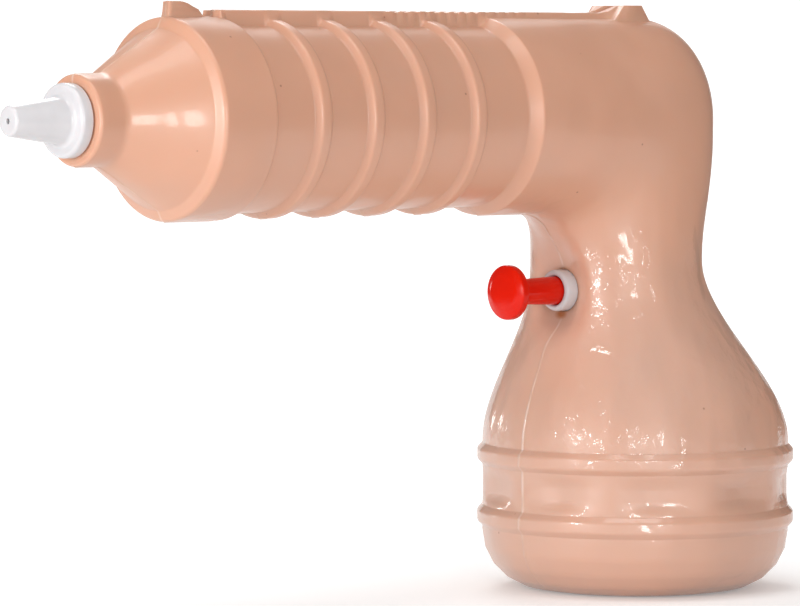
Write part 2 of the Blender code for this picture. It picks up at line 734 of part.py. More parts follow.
def make_plunger(pump, rod_material, seal_material):
    """The stem with its piston, the knob pressed on its front and the ring in the piston's groove."""
    seal_ring_r = CYLINDER_BORE_R - SLIP - SEAL_SECTION_R
    groove_r = seal_ring_r - SEAL_SECTION_R - SLIP
    groove_middle = PISTON_STATION + PISTON_LENGTH / 2
    groove_half = SEAL_SECTION_R + SLIP
    piston_end = PISTON_STATION + PISTON_LENGTH
    stem_front = KNOB_STATION + SEAT_GAP
    spigot_front = stem_front - KNOB_SPIGOT_LENGTH
    outline = [
        (0, spigot_front),
        (KNOB_SPIGOT_R, spigot_front),
        (KNOB_SPIGOT_R, stem_front),
        (STEM_FRONT_R, stem_front),
        (STEM_R, 0),
        (STEM_R, PISTON_STATION),
        (PISTON_R, PISTON_STATION),
        (PISTON_R, groove_middle - groove_half),
        (groove_r, groove_middle - groove_half),
        (groove_r, groove_middle + groove_half),
        (PISTON_R, groove_middle + groove_half),
        (PISTON_R, piston_end),
        (SPRING_SPIGOT_R, piston_end),
        (SPRING_SPIGOT_R, piston_end + SPRING_SPIGOT_LENGTH),
        (0, piston_end + SPRING_SPIGOT_LENGTH),
    ]
    piece("plunger_rod", turned(outline, SMALL_STEPS, "X"), rod_material, pump)
    piece("piston_seal", ring_shape(seal_ring_r, groove_middle), seal_material, pump)

    socket_r = KNOB_SPIGOT_R + SLIP
    socket_front = spigot_front - SEAT_GAP
    rim_back = KNOB_STATION - KNOB_HUB_LENGTH
    rim_front = rim_back - KNOB_RIM
    knob = [
        (0, socket_front),
        (socket_r, socket_front),
        (socket_r, KNOB_STATION),
        *rounded([
            (STEM_FRONT_R, KNOB_STATION, 0),
            (KNOB_HUB_R, KNOB_STATION - SEAT_GAP, EDGE),
            (KNOB_HUB_R, rim_back, 0),
            (KNOB_R, rim_back, EDGE),
            (KNOB_R, rim_front, RIM_ROUND),
            (KNOB_FACE_R, rim_front - KNOB_FACE_RISE, KNOB_FACE_ROUND),
            (0, rim_front - KNOB_DOME, 0),
        ]),
    ]
    piece("trigger_knob", turned(knob, SMALL_STEPS, "X"), rod_material, pump)


def make_return_spring(pump, material):
    """It pushes the piston forward from the cylinder's end."""
    start = PISTON_STATION + PISTON_LENGTH + SEAT_GAP
    length = CYLINDER_LENGTH - CYLINDER_END - SEAT_GAP - start
    shape = spring_shape(length, SPRING_MEAN_R, SPRING_WIRE_R, SPRING_COILS, "X")
    piece("return_spring", shape, material, pump, (start, 0, 0))


def make_valve_block(pump, material):
    """A hub pushed over the cylinder's end, across a tower with a valve chamber above and below."""
    hub_front = CYLINDER_LENGTH - SOCKET_DEPTH
    socket_end = CYLINDER_LENGTH + SEAT_GAP
    hub = rod(HUB_R, hub_front, VALVE_STATION, SMALL_STEPS, "X")
    made = piece("valve_block", hub, material, pump)
    axis = (VALVE_STATION, 0, 0)
    tower = helper("tower_form", rod(TOWER_R, -TOWER_DOWN, TOWER_UP, SMALL_STEPS), pump, axis)
    combine(made, tower, "UNION")
    socket = turned([
        (0, hub_front - OVERLAP),
        (CYLINDER_R + SEAT_GAP, hub_front - OVERLAP),
        (CYLINDER_R + SEAT_GAP, socket_end),
        (PORT_R, socket_end),
        (PORT_R, VALVE_STATION),
        (0, VALVE_STATION),
    ], SMALL_STEPS, "X")
    bore = turned([
        (0, -TOWER_DOWN - OVERLAP),
        (CHAMBER_R, -TOWER_DOWN - OVERLAP),
        (CHAMBER_R, -PASSAGE_HALF_LENGTH),
        (PORT_R, -PASSAGE_HALF_LENGTH),
        (PORT_R, PASSAGE_HALF_LENGTH),
        (CHAMBER_R, PASSAGE_HALF_LENGTH),
        (CHAMBER_R, TOWER_UP + OVERLAP),
        (0, TOWER_UP + OVERLAP),
    ], TINY_STEPS)
    slot_reach = CHAMBER_R - SLIP
    bypass = block(
        (-BYPASS_WIDTH / 2, -slot_reach, -PASSAGE_HALF_LENGTH - OVERLAP),
        (BYPASS_WIDTH / 2, slot_reach, -PASSAGE_HALF_LENGTH + BYPASS_DEPTH),
    )
    for cutter in (
        helper("socket_cut", socket, pump),
        helper("bore_cut", bore, pump, axis),
        helper("bypass_cut", bypass, pump, axis),
    ):
        combine(made, cutter, "DIFFERENCE")


def fitting_outline(spigot_length):
    """A hose fitting from the end of its spigot, past its flange, to the end of its barb."""
    flange_start = spigot_length
    flange_end = flange_start + FITTING_FLANGE_THICKNESS
    barb_end = flange_end + BARB_LENGTH
    neck_r = BARB_R - SLIP
    outline = [
        (FITTING_BORE_R, 0),
        (CHAMBER_R - SLIP, 0),
        (CHAMBER_R - SLIP, flange_start),
        (FITTING_FLANGE_R, flange_start),
        (FITTING_FLANGE_R, flange_end),
        (neck_r, flange_end),
    ]
    pitch = BARB_LENGTH / BARBS
    for n in range(BARBS):
        foot = flange_end + n * pitch
        outline += [(neck_r, foot + SLIP), (BARB_R, foot + 2 * SLIP), (neck_r, foot + pitch)]
    outline.append((FITTING_BORE_R, barb_end))
    return outline


def make_valves(pump, plastic_material, steel):
    """Inlet and outlet fittings, their check balls and the light spring over the outlet's ball."""
    inlet_top = -TOWER_DOWN - SEAT_GAP + INLET_SPIGOT_LENGTH
    inlet = turned(fitting_outline(INLET_SPIGOT_LENGTH), TINY_STEPS, closed=True)
    bmesh.ops.rotate(inlet, verts=inlet.verts, matrix=Matrix.Rotation(math.pi, 3, "X"))
    piece("inlet_fitting", inlet, plastic_material, pump, (VALVE_STATION, 0, inlet_top))

    outlet_bottom = TOWER_UP + SEAT_GAP - OUTLET_SPIGOT_LENGTH
    outlet = turned(fitting_outline(OUTLET_SPIGOT_LENGTH), TINY_STEPS, closed=True)
    piece("outlet_fitting", outlet, plastic_material, pump, (VALVE_STATION, 0, outlet_bottom))

    outlet_ball_z = PASSAGE_HALF_LENGTH + BALL_DROP
    for name, height in (("inlet_ball", inlet_top + INLET_BALL_DROP), ("outlet_ball", outlet_ball_z)):
        ball = bmesh.new()
        bmesh.ops.create_uvsphere(ball, u_segments=TINY_STEPS, v_segments=TINY_STEPS // 2, radius=BALL_R)
        piece(name, ball, steel, pump, (VALVE_STATION, 0, height))

    start = outlet_ball_z + math.sqrt(BALL_R**2 - VALVE_SPRING_R**2) + SEAT_GAP
    length = outlet_bottom - SLIP - start
    shape = spring_shape(length, VALVE_SPRING_R, VALVE_WIRE_R, VALVE_COILS, "Z")
    piece("outlet_spring", shape, steel, pump, (VALVE_STATION, 0, start))


def make_tubes(frame, material):
    """The hose from the outlet up and along the barrel, and the dip tube down to the tank's floor."""
    flange = SEAT_GAP + FITTING_FLANGE_THICKNESS + SEAT_GAP
    front_end = BODY_FRONT_X + NOZZLE_SHANK_LENGTH + SEAT_GAP
    corners = [
        (VALVE_X, PUMP_Z + TOWER_UP + flange, 0),
        (VALVE_X, BARREL_Z, HOSE_BEND_R),
        (CHAMBER_FRONT_X, BARREL_Z - HOSE_SAG, HOSE_SLACK_R),
        (front_end + 2 * BARB_LENGTH, BARREL_Z, HOSE_SLACK_R),
        (front_end, BARREL_Z, 0),
    ]
    piece("delivery_hose", hose_shape(corners, HOSE_R, HOSE_BORE_R, HOSE_SIDES), material, frame)

    dip_start = PUMP_Z - TOWER_DOWN - flange
    corners = [
        (VALVE_X, dip_start, 0),
        (VALVE_X, dip_start - BARB_LENGTH - DIP_BEND_DROP, DIP_BEND_R),
        (DIP_END_X, DIP_CORNER_Z, DIP_BEND_R),
        (DIP_END_X, WALL + DIP_END_GAP, 0),
    ]
    piece("dip_tube", hose_shape(corners, HOSE_R, HOSE_BORE_R, HOSE_SIDES), material, frame)


def make_nozzle(frame, material):
    """A tapered tip and a flange outside, a shank in the body and a barb for the hose inside."""
    flange_back = BODY_FRONT_X - SEAT_GAP
    flange_front = flange_back - NOZZLE_FLANGE_THICKNESS
    shank_back = BODY_FRONT_X + NOZZLE_SHANK_LENGTH
    barb_end = shank_back + BARB_LENGTH
    outline = rounded([
        (ORIFICE_R, -FRONT_REACH, 0),
        (NOZZLE_TIP_R, -FRONT_REACH, EDGE),
        (NOZZLE_ROOT_R, flange_front, RIM_ROUND),
        (NOZZLE_FLANGE_R, flange_front, RIM_ROUND),
        (NOZZLE_FLANGE_R, flange_back, EDGE),
        (NOZZLE_SHANK_R, flange_back, 0),
        (NOZZLE_SHANK_R, shank_back, 0),
        (BARB_R, shank_back, 0),
        (BARB_R, barb_end - HOSE_BORE_R, 0),
        (BARB_R - SLIP, barb_end, 0),
        (FITTING_BORE_R, barb_end, 0),
        (FITTING_BORE_R, -FRONT_REACH + ORIFICE_LENGTH, 0),
        (ORIFICE_R, -FRONT_REACH + ORIFICE_LENGTH - OVERLAP, 0),
    ], closed=True)
    piece("nozzle", turned(outline, SMALL_STEPS, "X", closed=True), material, frame, (0, 0, BARREL_Z))


def make_filler(frame, bush_material, plug_material):
    """A bush glued in the tank's underside and the soft plug pushed into it from below."""
    flange_top = RECESS_HEIGHT - SEAT_GAP
    flange_bottom = flange_top - BUSH_FLANGE_THICKNESS
    bush = rounded([
        (BUSH_BORE_R, flange_bottom, 0),
        (BUSH_FLANGE_R, flange_bottom, EDGE),
        (BUSH_FLANGE_R, flange_top, 0),
        (BUSH_SHANK_R, flange_top, 0),
        (BUSH_SHANK_R, flange_top + BUSH_SHANK_HEIGHT, 0),
        (BUSH_BORE_R, flange_top + BUSH_SHANK_HEIGHT, 0),
    ], closed=True)
    piece("filler_bush", turned(bush, SMALL_STEPS, closed=True), bush_material, frame)

    head_top = flange_bottom - SEAT_GAP
    head_bottom = head_top - PLUG_HEAD_THICKNESS
    spigot_r = BUSH_BORE_R - SLIP
    spigot_top = head_top + PLUG_SPIGOT_HEIGHT
    well_r = spigot_r - PLUG_WALL
    plug = rounded([
        (0, head_bottom, 0),
        (PLUG_HEAD_R, head_bottom, EDGE),
        (PLUG_HEAD_R, head_top, 0),
        (spigot_r, head_top, 0),
        (spigot_r, spigot_top, EDGE),
        (well_r, spigot_top, 0),
        (well_r, head_top + SEAT_GAP, 0),
        (0, head_top + SEAT_GAP, 0),
    ])
    made = piece("filler_plug", turned(plug, SMALL_STEPS), plug_material, frame)
    grip = block(
        (-PLUG_GRIP_LENGTH / 2, -PLUG_GRIP_WIDTH / 2, head_bottom - PLUG_GRIP_HEIGHT),
        (PLUG_GRIP_LENGTH / 2, PLUG_GRIP_WIDTH / 2, head_top - SEAT_GAP),
    )
    combine(made, helper("plug_grip_form", grip, frame), "UNION")


def main():
    clear_scene()
    frame = empty("squirter_frame", (TANK_X, 0, 0))
    pump = empty("pump_frame", (PUMP_X, 0, PUMP_Z), frame)
    peach = plastic("peach_vinyl", (0.64, 0.37, 0.25), 0.22)
    red = plastic("red_plastic", (0.76, 0.02, 0.008), 0.25)
    white = plastic("white_plastic", (0.68, 0.66, 0.64), 0.3)
    clear = plastic("clear_tube", (0.75, 0.78, 0.78), 0.2)
    rubber = plastic("black_rubber", (0.02, 0.02, 0.02), 0.6)
    steel = plastic("spring_steel", (0.55, 0.55, 0.56), 0.3, 1.0)

    make_shells(frame, pump, peach)
    make_cylinder(pump, white)
    make_cylinder_seal(pump, rubber)
    make_plunger(pump, red, rubber)
    make_return_spring(pump, steel)
    make_valve_block(pump, white)
    make_valves(pump, white, steel)
    make_tubes(frame, clear)
    make_nozzle(frame, white)
    make_filler(frame, white, red)


main()
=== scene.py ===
"""The looks of a toy water squirter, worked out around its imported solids.

Run it as a script: it loads the fixed frame, registers its operators and calls them in order. The
body is one long surface from the nozzle's seat along the barrel, round the elbow and down the neck
and tank to the filling hole, made as two half shells. The pump, nozzle and filler are turned.

Metres, +Z up, and the barrel points along -X, as in the frame.
"""

from functools import partial

import bmesh
import bpy
import numpy as np
from bpy.props import FloatProperty, FloatVectorProperty, IntProperty, PointerProperty
from bpy.types import Operator, Panel, PropertyGroup
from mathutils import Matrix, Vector


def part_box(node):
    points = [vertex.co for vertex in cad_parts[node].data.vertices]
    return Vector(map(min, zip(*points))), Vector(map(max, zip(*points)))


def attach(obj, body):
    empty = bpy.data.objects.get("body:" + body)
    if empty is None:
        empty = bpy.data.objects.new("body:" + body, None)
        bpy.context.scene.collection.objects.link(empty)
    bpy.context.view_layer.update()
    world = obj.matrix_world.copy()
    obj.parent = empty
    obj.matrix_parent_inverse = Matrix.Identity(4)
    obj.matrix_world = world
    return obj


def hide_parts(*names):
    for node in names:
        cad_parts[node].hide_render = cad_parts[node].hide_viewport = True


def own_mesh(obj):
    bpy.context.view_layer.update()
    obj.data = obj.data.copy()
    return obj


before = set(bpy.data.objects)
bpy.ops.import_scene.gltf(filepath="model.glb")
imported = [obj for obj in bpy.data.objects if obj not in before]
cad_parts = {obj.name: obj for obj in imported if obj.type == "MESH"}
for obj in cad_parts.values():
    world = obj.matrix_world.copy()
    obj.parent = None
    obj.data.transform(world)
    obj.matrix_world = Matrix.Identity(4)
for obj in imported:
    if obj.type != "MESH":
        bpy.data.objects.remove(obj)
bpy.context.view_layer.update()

bl_info = {
    "name": "Water Squirter",
    "version": (1, 0, 0),
    "blender": (4, 5, 0),
    "location": "View3D > Sidebar > Squirter",
    "description": "Builds the shells, pump, nozzle, filler and studio of a toy water squirter",
    "category": "Object",
}

# The camera: angles in degrees, and where its axis crosses the upright plane through the tank
PHOTO_WIDTH = 800
SENSOR = 0.036
AZIMUTH = -41.0
ELEVATION = 3.0
DISTANCE = 1.10
PIXEL = 0.000235
AIM_LEFT = 0.0553
AIM_HEIGHT = 0.0667

# How bright the even light round the object is, and how bright gloss sees it
AMBIENT = 0.62
ROOM_IN_GLOSS = 0.08

# The point that all lamps face, and the lamps: name, turn from the camera to its left in degrees,
# height, distance, width and height of the softbox in metres, and watts
LAMP_AIM = (0, 0, 0.07)
LAMPS = (
    ("key_softbox", 45.0, 0.21, 1.25, (0.15, 0.46), 7.8),
    ("front_softbox", -13.0, 0.20, 1.35, (0.14, 0.44), 4.6),
    ("top_softbox", 20.0, 1.30, 0.30, (0.70, 0.50), 3.6),
    ("rear_softbox", 170.0, 1.00, 1.00, (0.60, 0.50), 4.0),
    ("left_strip", 130.0, 0.10, 1.10, (0.09, 0.12), 0.45),
)

# The directions that pieces are turned round
AXES = {"X": np.array([1.0, 0.0, 0.0]), "Z": np.array([0.0, 0.0, 1.0])}

# Where the solids put the three axes that everything is built around
bush_low, bush_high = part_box("filler_bush")
nozzle_low, nozzle_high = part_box("nozzle")
pump_low, pump_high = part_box("pump_cylinder")
TANK_X = (bush_low.x + bush_high.x) / 2
BARREL_Z = (nozzle_low.z + nozzle_high.z) / 2
PUMP_X = pump_low.x
PUMP_Z = (pump_low.z + pump_high.z) / 2

# Stations along the barrel, from the tank's upright axis
NOZZLE_TIP = -0.182
BODY_FRONT = -0.165
SEAT_LENGTH = 0.012
SEAT_R = 0.0047
CONE_FRONT_R = 0.0100
CONE_LAND = 0.0070
CONE_SET_IN = 0.0010
BAND_REAR = -0.126
BAND_LENGTH = 0.015
CHAMBER_FRONT = -0.050
STEP_LENGTH = 0.003
HOOP_FIRST = -0.068
HOOP_WIDTH = 0.0050
FILLET = 0.0012

# Neck, tank and underside
ELBOW_OVERHANG = 0.0040
ELBOW_ROUND = 0.0200
ELBOW_TUCK = np.radians(60)
ELBOW_STRAIGHT = 0.0010
NECK_FILLET = 0.0100
SHOULDER_Z = 0.0345
FRONT_SHARE = 0.83
REAR_SHARE = 1.0
TANK_HOOP_WIDTH = 0.0050
HOOP_HEIGHTS = (0.0315, 0.0170)
FLUTE_RUNOUT = 0.0025
FOOT_R = 0.0215
RECESS_R = 0.0185
RECESS_HEIGHT = 0.0055
FILLER_HOLE_R = 0.0076

# Sights. They rise from the grid's points whose angle has a cosine over TOP_COS
RAIL_HALF_WIDTH = 0.0035
SIGHT_LENGTH = 0.009
BLADE_SLOPE = 0.0054
REAR_SIGHT_HALF_WIDTH = 0.0060
NOTCH_HALF_WIDTH = 0.0016
BLADE_HALF_WIDTH = 0.0014
EDGE = 0.0004
TOP_COS = 0.3
GROOVE_FIRST = -0.0780
GROOVE_PITCH = 0.0030
GROOVES = 20

# Where a groove's floor starts and ends and how long its slopes are, in pitches
GROOVE_START, GROOVE_END, GROOVE_SLOPE = 0.2, 0.5, 0.1

# How fine the shells' grids are: rows round the elbow and down the neck, columns round one half,
# and the most metres between rows on the barrel and the tank
ELBOW_ROWS = 43
NECK_ROWS = 66
HALF_COLUMNS = 97
BARREL_SPACING = 0.0016
TANK_SPACING = 0.0012

# Pump, in stations behind the front face of its cylinder
COLLAR_R = 0.0048
HOLE_R = 0.00488
COLLAR_PROUD = 0.0034
DIMPLE_REACH = 0.02
BEAD_WIDTH = 0.00022
STEM_R = 0.0033
STEM_FRONT_R = 0.0029
KNOB_STATION = -0.0117
SEAT_GAP = 0.0003
SLIP = 0.00015

# The round that an edge of hard plastic has, and the angle from which an edge is shaded sharp
CRISP = 0.0003
SHARP = np.radians(35)

# Springs: solid, joint that squeezes it, its axis, turns, radius of the coil and of the wire. The
# end turns are closed up to a pitch of 2.4 wire radii
CLOSED_PITCH = 2.4
STEPS_PER_TURN = 24
WIRE_SIDES = 12
SPRINGS = (
    ("return_spring", "plunger_slide", "X", 8, 0.0030, 0.00025),
    ("outlet_spring", "outlet_ball_lift", "Z", 6, 0.0013, 0.00010),
)


def length(name, description, default):
    """A size that a user may change."""
    return FloatProperty(
        name=name, description=description, default=default, min=0,
        unit="LENGTH", subtype="DISTANCE",
    )


def linear(code):
    """An sRGB hex colour as linear light with full alpha."""
    value = np.array([int(code[k:k + 2], 16) for k in (1, 3, 5)]) / 255
    light = np.where(value <= 0.04045, value / 12.92, ((value + 0.055) / 1.055) ** 2.4)
    return (*light.tolist(), 1.0)


def colour(name, description, code):
    """A colour that a user may change."""
    return FloatVectorProperty(
        name=name, description=description, default=linear(code), size=4, min=0, max=1,
        subtype="COLOR",
    )


class SquirterSizes(PropertyGroup):
    """Sizes of the shells and of the detail on them."""

    barrel_r: length("Barrel radius", "Radius of the rear part of the barrel", 0.0227)
    waist_step: length("Waist step", "How far the middle of the barrel is set in", 0.0020)
    hoop_proud: length("Barrel hoop height", "How far the barrel's hoops stand up", 0.0014)
    hoop_pitch: length("Barrel hoop pitch", "Distance between the barrel's hoops", 0.0150)
    hoops: IntProperty(name="Barrel hoops", description="Number of hoops", default=4, min=0, max=4)
    band_proud: length("Band height", "How far the front band stands up", 0.0015)
    rail_proud: length("Rail height", "Height of the sight rail above the barrel", 0.0010)
    sight_proud: length("Sight height", "Height of both sights above the rail", 0.0018)
    groove_depth: length("Groove depth", "Depth of the anti-glare grooves across the rail", 0.0004)
    neck_x: length("Neck offset", "How far the neck's middle is in front of the tank's", 0.0063)
    neck_half_length: length("Neck half length", "Half the neck from front to rear", 0.0200)
    neck_half_width: length("Neck half width", "Half the neck from side to side", 0.0203)
    tank_r: length("Tank radius", "Radius of the tank between its hoops", 0.0360)
    tank_hoop_proud: length("Tank hoop height", "How far the tank's hoops stand out", 0.0012)
    flutes: IntProperty(
        name="Flutes", description="Number of flutes round the tank", default=10, min=0
    )
    flute_depth: length("Flute depth", "Depth of the tank's flutes", 0.0012)
    wall: length("Wall", "Thickness of the moulded vinyl", 0.0016)
    seam_gap: length("Seam gap", "Gap between the two half shells", 0.00004)
    bead: length("Seam bead", "Height of the flash along the parting line", 0.00014)
    dimple_r: length("Pump dimple", "Radius of the soft hollow round the pump's collar", 0.0095)


class SquirterColours(PropertyGroup):
    """Colours of the plastics and of the studio."""

    vinyl: colour("Vinyl", "Main colour of the soft vinyl", "#c79e8a")
    # Deep tone: the barrel's deeper colour, and painted shade towards the rear of the body
    vinyl_deep_and_shade: colour("Deep vinyl", "Colour of the vinyl where it is thicker", "#d39c80")
    vinyl_pale: colour("Pale vinyl", "Colour of the flash along the parting line", "#f0d2c2")
    # Also painted shade in a thin ring where the skin meets the collar
    glue_and_shade: colour("Glue", "Dried glue round the pump's collar", "#b4642c")
    speck: colour("Specks", "Fine dust moulded into the vinyl", "#8f5f4a")
    red: colour("Red plastic", "Trigger and filler plug", "#d91a04")
    white: colour("White plastic", "Collar, nozzle and fittings", "#d5d2d4")
    tube: colour("Tube", "Clear soft tube", "#e3e8e6")
    rubber: colour("Rubber", "Seals", "#1c1b1a")
    steel: colour("Steel", "Spring wire and balls", "#b9b9ba")
    floor: colour("Floor", "Studio floor and backdrop", "#eaeaea")


def unit(v):
    """Each vector made one long."""
    return v / np.linalg.norm(v, axis=-1, keepdims=True)


def ease(t):
    """A level start and a level end: 0 up to t = 0, 1 from t = 1, and 3t2 - 2t3 between."""
    t = np.clip(t, 0, 1)
    return t * t * (3 - 2 * t)


def plateau(value, low, high, edge):
    """1 between low and high, easing to 0 over one edge outside them."""
    return ease((value - low) / edge + 1) * ease((high - value) / edge + 1)


def squared(wave):
    """A sine or cosine to the power 0.3 with its sign kept, which makes an ellipse nearly a box."""
    return np.sign(wave) * np.abs(wave) ** 0.3


def rounded(corners, steps=5):
    """An outline from (a, b, radius) corners. Each rounded corner becomes an arc that touches both
    of its sides: its centre lies on the corner's bisector, radius / sin(half the corner's angle)
    away, and its points are blended on the circle between the two places where it touches. Two
    rounded corners share the side between them by their radii."""
    corners = np.array(corners, dtype=float)
    spots, radii = corners[:, :2], corners[:, 2]
    made = [spots[:1]]
    for k in range(1, len(spots) - 1):
        spot, radius = spots[k], radii[k]
        if radius <= 0:
            made.append(spot[None])
            continue
        back, ahead = spots[k - 1] - spot, spots[k + 1] - spot
        half = np.arccos(np.clip(unit(back) @ unit(ahead), -1, 1)) / 2
        reach = min(
            radius / np.tan(half),
            0.98 * np.linalg.norm(back) * radius / (radius + radii[k - 1]),
            0.98 * np.linalg.norm(ahead) * radius / (radius + radii[k + 1]),
        )
        centre = spot + unit(unit(back) + unit(ahead)) * reach / np.cos(half)
        start, end = spot + unit(back) * reach - centre, spot + unit(ahead) * reach - centre
        sweep = np.pi - 2 * half
        share = np.linspace(0, 1, steps + 1)[:, None]
        before, after = np.sin((1 - share) * sweep), np.sin(share * sweep)
        made.append(centre + (before * start + after * end) / np.sin(sweep))
    made.append(spots[-1:])
    return np.concatenate(made)


def dense(outline, spacing, extra=()):
    """The same outline with points added so that none is further than spacing from the next, and
    with one wherever the second coordinate reaches a value in extra."""
    run = np.concatenate([[0], np.cumsum(np.linalg.norm(np.diff(outline, axis=0), axis=1))])
    parts = np.maximum(1, np.ceil(np.diff(run) / spacing).astype(int))
    stations = np.concatenate([
        np.linspace(a, b, n, endpoint=False) for a, b, n in zip(run, run[1:], parts)
    ] + [np.interp(extra, outline[:, 1], run) if len(extra) else [], [run[-1]]])
    stations = np.unique(np.round(stations, 6))
    return np.stack([np.interp(stations, run, outline[:, k]) for k in (0, 1)], axis=1)


def grid_mesh(grid, wrap_rows=False, wrap_columns=False, keep=None):
    """A mesh from a grid of points, with one face between each four neighbours. Wrapping joins the
    last row or column to the first, and points that meet at a pole are merged. The faces are
    turned if the sum of area vector times distance from the middle is negative."""
    rows, columns = grid.shape[:2]
    index = np.arange(rows * columns).reshape(rows, columns)
    index = np.concatenate([index, index[:1]]) if wrap_rows else index
    index = np.concatenate([index, index[:, :1]], axis=1) if wrap_columns else index
    corners = index[:-1, :-1], index[1:, :-1], index[1:, 1:], index[:-1, 1:]
    faces = np.stack(corners, axis=-1).reshape(-1, 4)
    if keep is not None:
        faces = faces[keep.reshape(-1)[faces].any(axis=1)]
    points = grid.reshape(-1, 3)
    a, b, c, d = (points[faces[:, k]] for k in range(4))
    if (np.cross(c - a, d - b) * ((a + b + c + d) / 4 - points.mean(axis=0))).sum() < 0:
        faces = faces[:, ::-1]
    used, faces = np.unique(faces, return_inverse=True)
    mesh = bpy.data.meshes.new("grid")
    mesh.from_pydata(points[used].tolist(), [], faces.reshape(-1, 4).tolist())
    shape = bmesh.new()
    shape.from_mesh(mesh)
    bmesh.ops.remove_doubles(shape, verts=shape.verts, dist=1e-7)
    shape.to_mesh(mesh)
    shape.free()
    mesh.shade_smooth()
    return mesh


def show(name, mesh, material, body, slot, *nodes):
    """Puts a finished mesh in the scene in place of the solids that it stands for."""
    piece = bpy.data.objects.new(name, mesh)
    bpy.context.collection.objects.link(piece)
    mesh.name = name
    mesh.materials.append(material)
    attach(piece, body)
    if nodes:
        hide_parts(*nodes)
    return piece


def turned(outline, origin, axis, steps=96, closed=False):
    """An outline of (radius, station) points carried round an axis through origin: each point goes
    to origin + station * axis + radius * (cos a * one side + sin a * the other)."""
    along = AXES[axis]
    one = AXES["X"] if axis == "Z" else np.array([0.0, 1.0, 0.0])
    other = np.cross(along, one)
    angle = np.linspace(0, 2 * np.pi, steps, endpoint=False)[None, :, None]
    radius, station = outline[:, 0, None, None], outline[:, 1, None, None]
    around = np.cos(angle) * one + np.sin(angle) * other
    grid = np.array(origin) + station * along + radius * around
    mesh = grid_mesh(grid, wrap_rows=closed, wrap_columns=True)
    mesh.set_sharp_from_angle(angle=SHARP)
    return mesh


def coil(node, along, turns, radius, wire):
    """A compression spring that fills its solid's box: a wire round a helix, closed up over its
    first and last turn. A point is radius times a turning direction, plus its height along the
    axis, plus wire times (cos b that direction + sin b along). Both ends of the wire are capped."""
    low, high = (np.array(corner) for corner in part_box(node))
    axis, one = AXES[along], np.array([0.0, 1.0, 0.0])
    other = np.cross(axis, one)
    turn = np.linspace(0, turns, turns * STEPS_PER_TURN + 1)
    free = (high - low) @ axis - 2 * wire
    closed = CLOSED_PITCH * wire
    height = np.interp(turn, [0, 1, turns - 1, turns], [0, closed, free - closed, free]) - free / 2
    out = np.cos(2 * np.pi * turn)[:, None] * one + np.sin(2 * np.pi * turn)[:, None] * other
    centre = (low + high) / 2 + out * radius + height[:, None] * axis
    b = np.linspace(0, 2 * np.pi, WIRE_SIDES, endpoint=False)
    ring = np.cos(b)[None, :, None] * out[:, None] + np.sin(b)[None, :, None] * axis
    grid = centre[:, None] + ring * wire
    caps = np.repeat(centre[[0, -1], None], WIRE_SIDES, axis=1)
    return grid_mesh(np.concatenate([caps[:1], grid, caps[1:]]), wrap_columns=True)


def hoop(radius, proud, middle, width):
    """The corners of a hoop that stands up from radius. A negative width runs them backwards."""
    return [
        (radius, middle - width / 2, FILLET / 2),
        (radius + proud, middle - width / 4, FILLET),
        (radius + proud, middle + width / 4, FILLET),
        (radius, middle + width / 2, FILLET / 2),
    ]


def barrel_outline(sizes):
    """(radius, station) along the barrel: out of the nozzle's seat, over the cone, the band, the
    waist with its hoops, and the step up to the chamber in front of the elbow."""
    waist = sizes.barrel_r - sizes.waist_step
    band = waist + sizes.band_proud
    band_front = BAND_REAR - BAND_LENGTH
    corners = [
        (SEAT_R, BODY_FRONT + SEAT_LENGTH, 0),
        (SEAT_R, BODY_FRONT, EDGE / 2),
        (CONE_FRONT_R, BODY_FRONT, EDGE * 2),
        (CONE_FRONT_R, BODY_FRONT + CONE_LAND, CONE_LAND / 2),
        (waist - CONE_SET_IN, band_front - FILLET, FILLET),
        (band, band_front, FILLET),
        (band, BAND_REAR - FILLET / 2, FILLET),
        (waist, BAND_REAR, FILLET / 2),
    ]
    for n in reversed(range(sizes.hoops)):
        corners += hoop(waist, sizes.hoop_proud, HOOP_FIRST - n * sizes.hoop_pitch, HOOP_WIDTH)
    corners += [
        (waist, CHAMBER_FRONT - STEP_LENGTH, FILLET),
        (sizes.barrel_r, CHAMBER_FRONT, FILLET),
        (sizes.barrel_r, elbow_middle(sizes)[0], 0),
    ]
    return rounded(corners)


def tank_outline(sizes):
    """(radius, height) down the tank: its wall with two hoops, the rounded foot, the recess under
    it and the filling hole's edge."""
    corners = [(sizes.tank_r, SHOULDER_Z, 0)]
    for middle in HOOP_HEIGHTS:
        corners += hoop(sizes.tank_r, sizes.tank_hoop_proud, middle, -TANK_HOOP_WIDTH)
    corners += [
        (sizes.tank_r, 0, sizes.tank_r - FOOT_R),
        (RECESS_R, 0, FILLET),
        (RECESS_R, RECESS_HEIGHT, FILLET / 2),
        (FILLER_HOLE_R, RECESS_HEIGHT, 0),
    ]
    return rounded(corners)


def elbow_middle(sizes):
    """The middle of the fillet between the barrel's underside and the neck's front."""
    neck_front = -sizes.neck_x - sizes.neck_half_length
    return neck_front - NECK_FILLET, BARREL_Z - sizes.barrel_r - NECK_FILLET


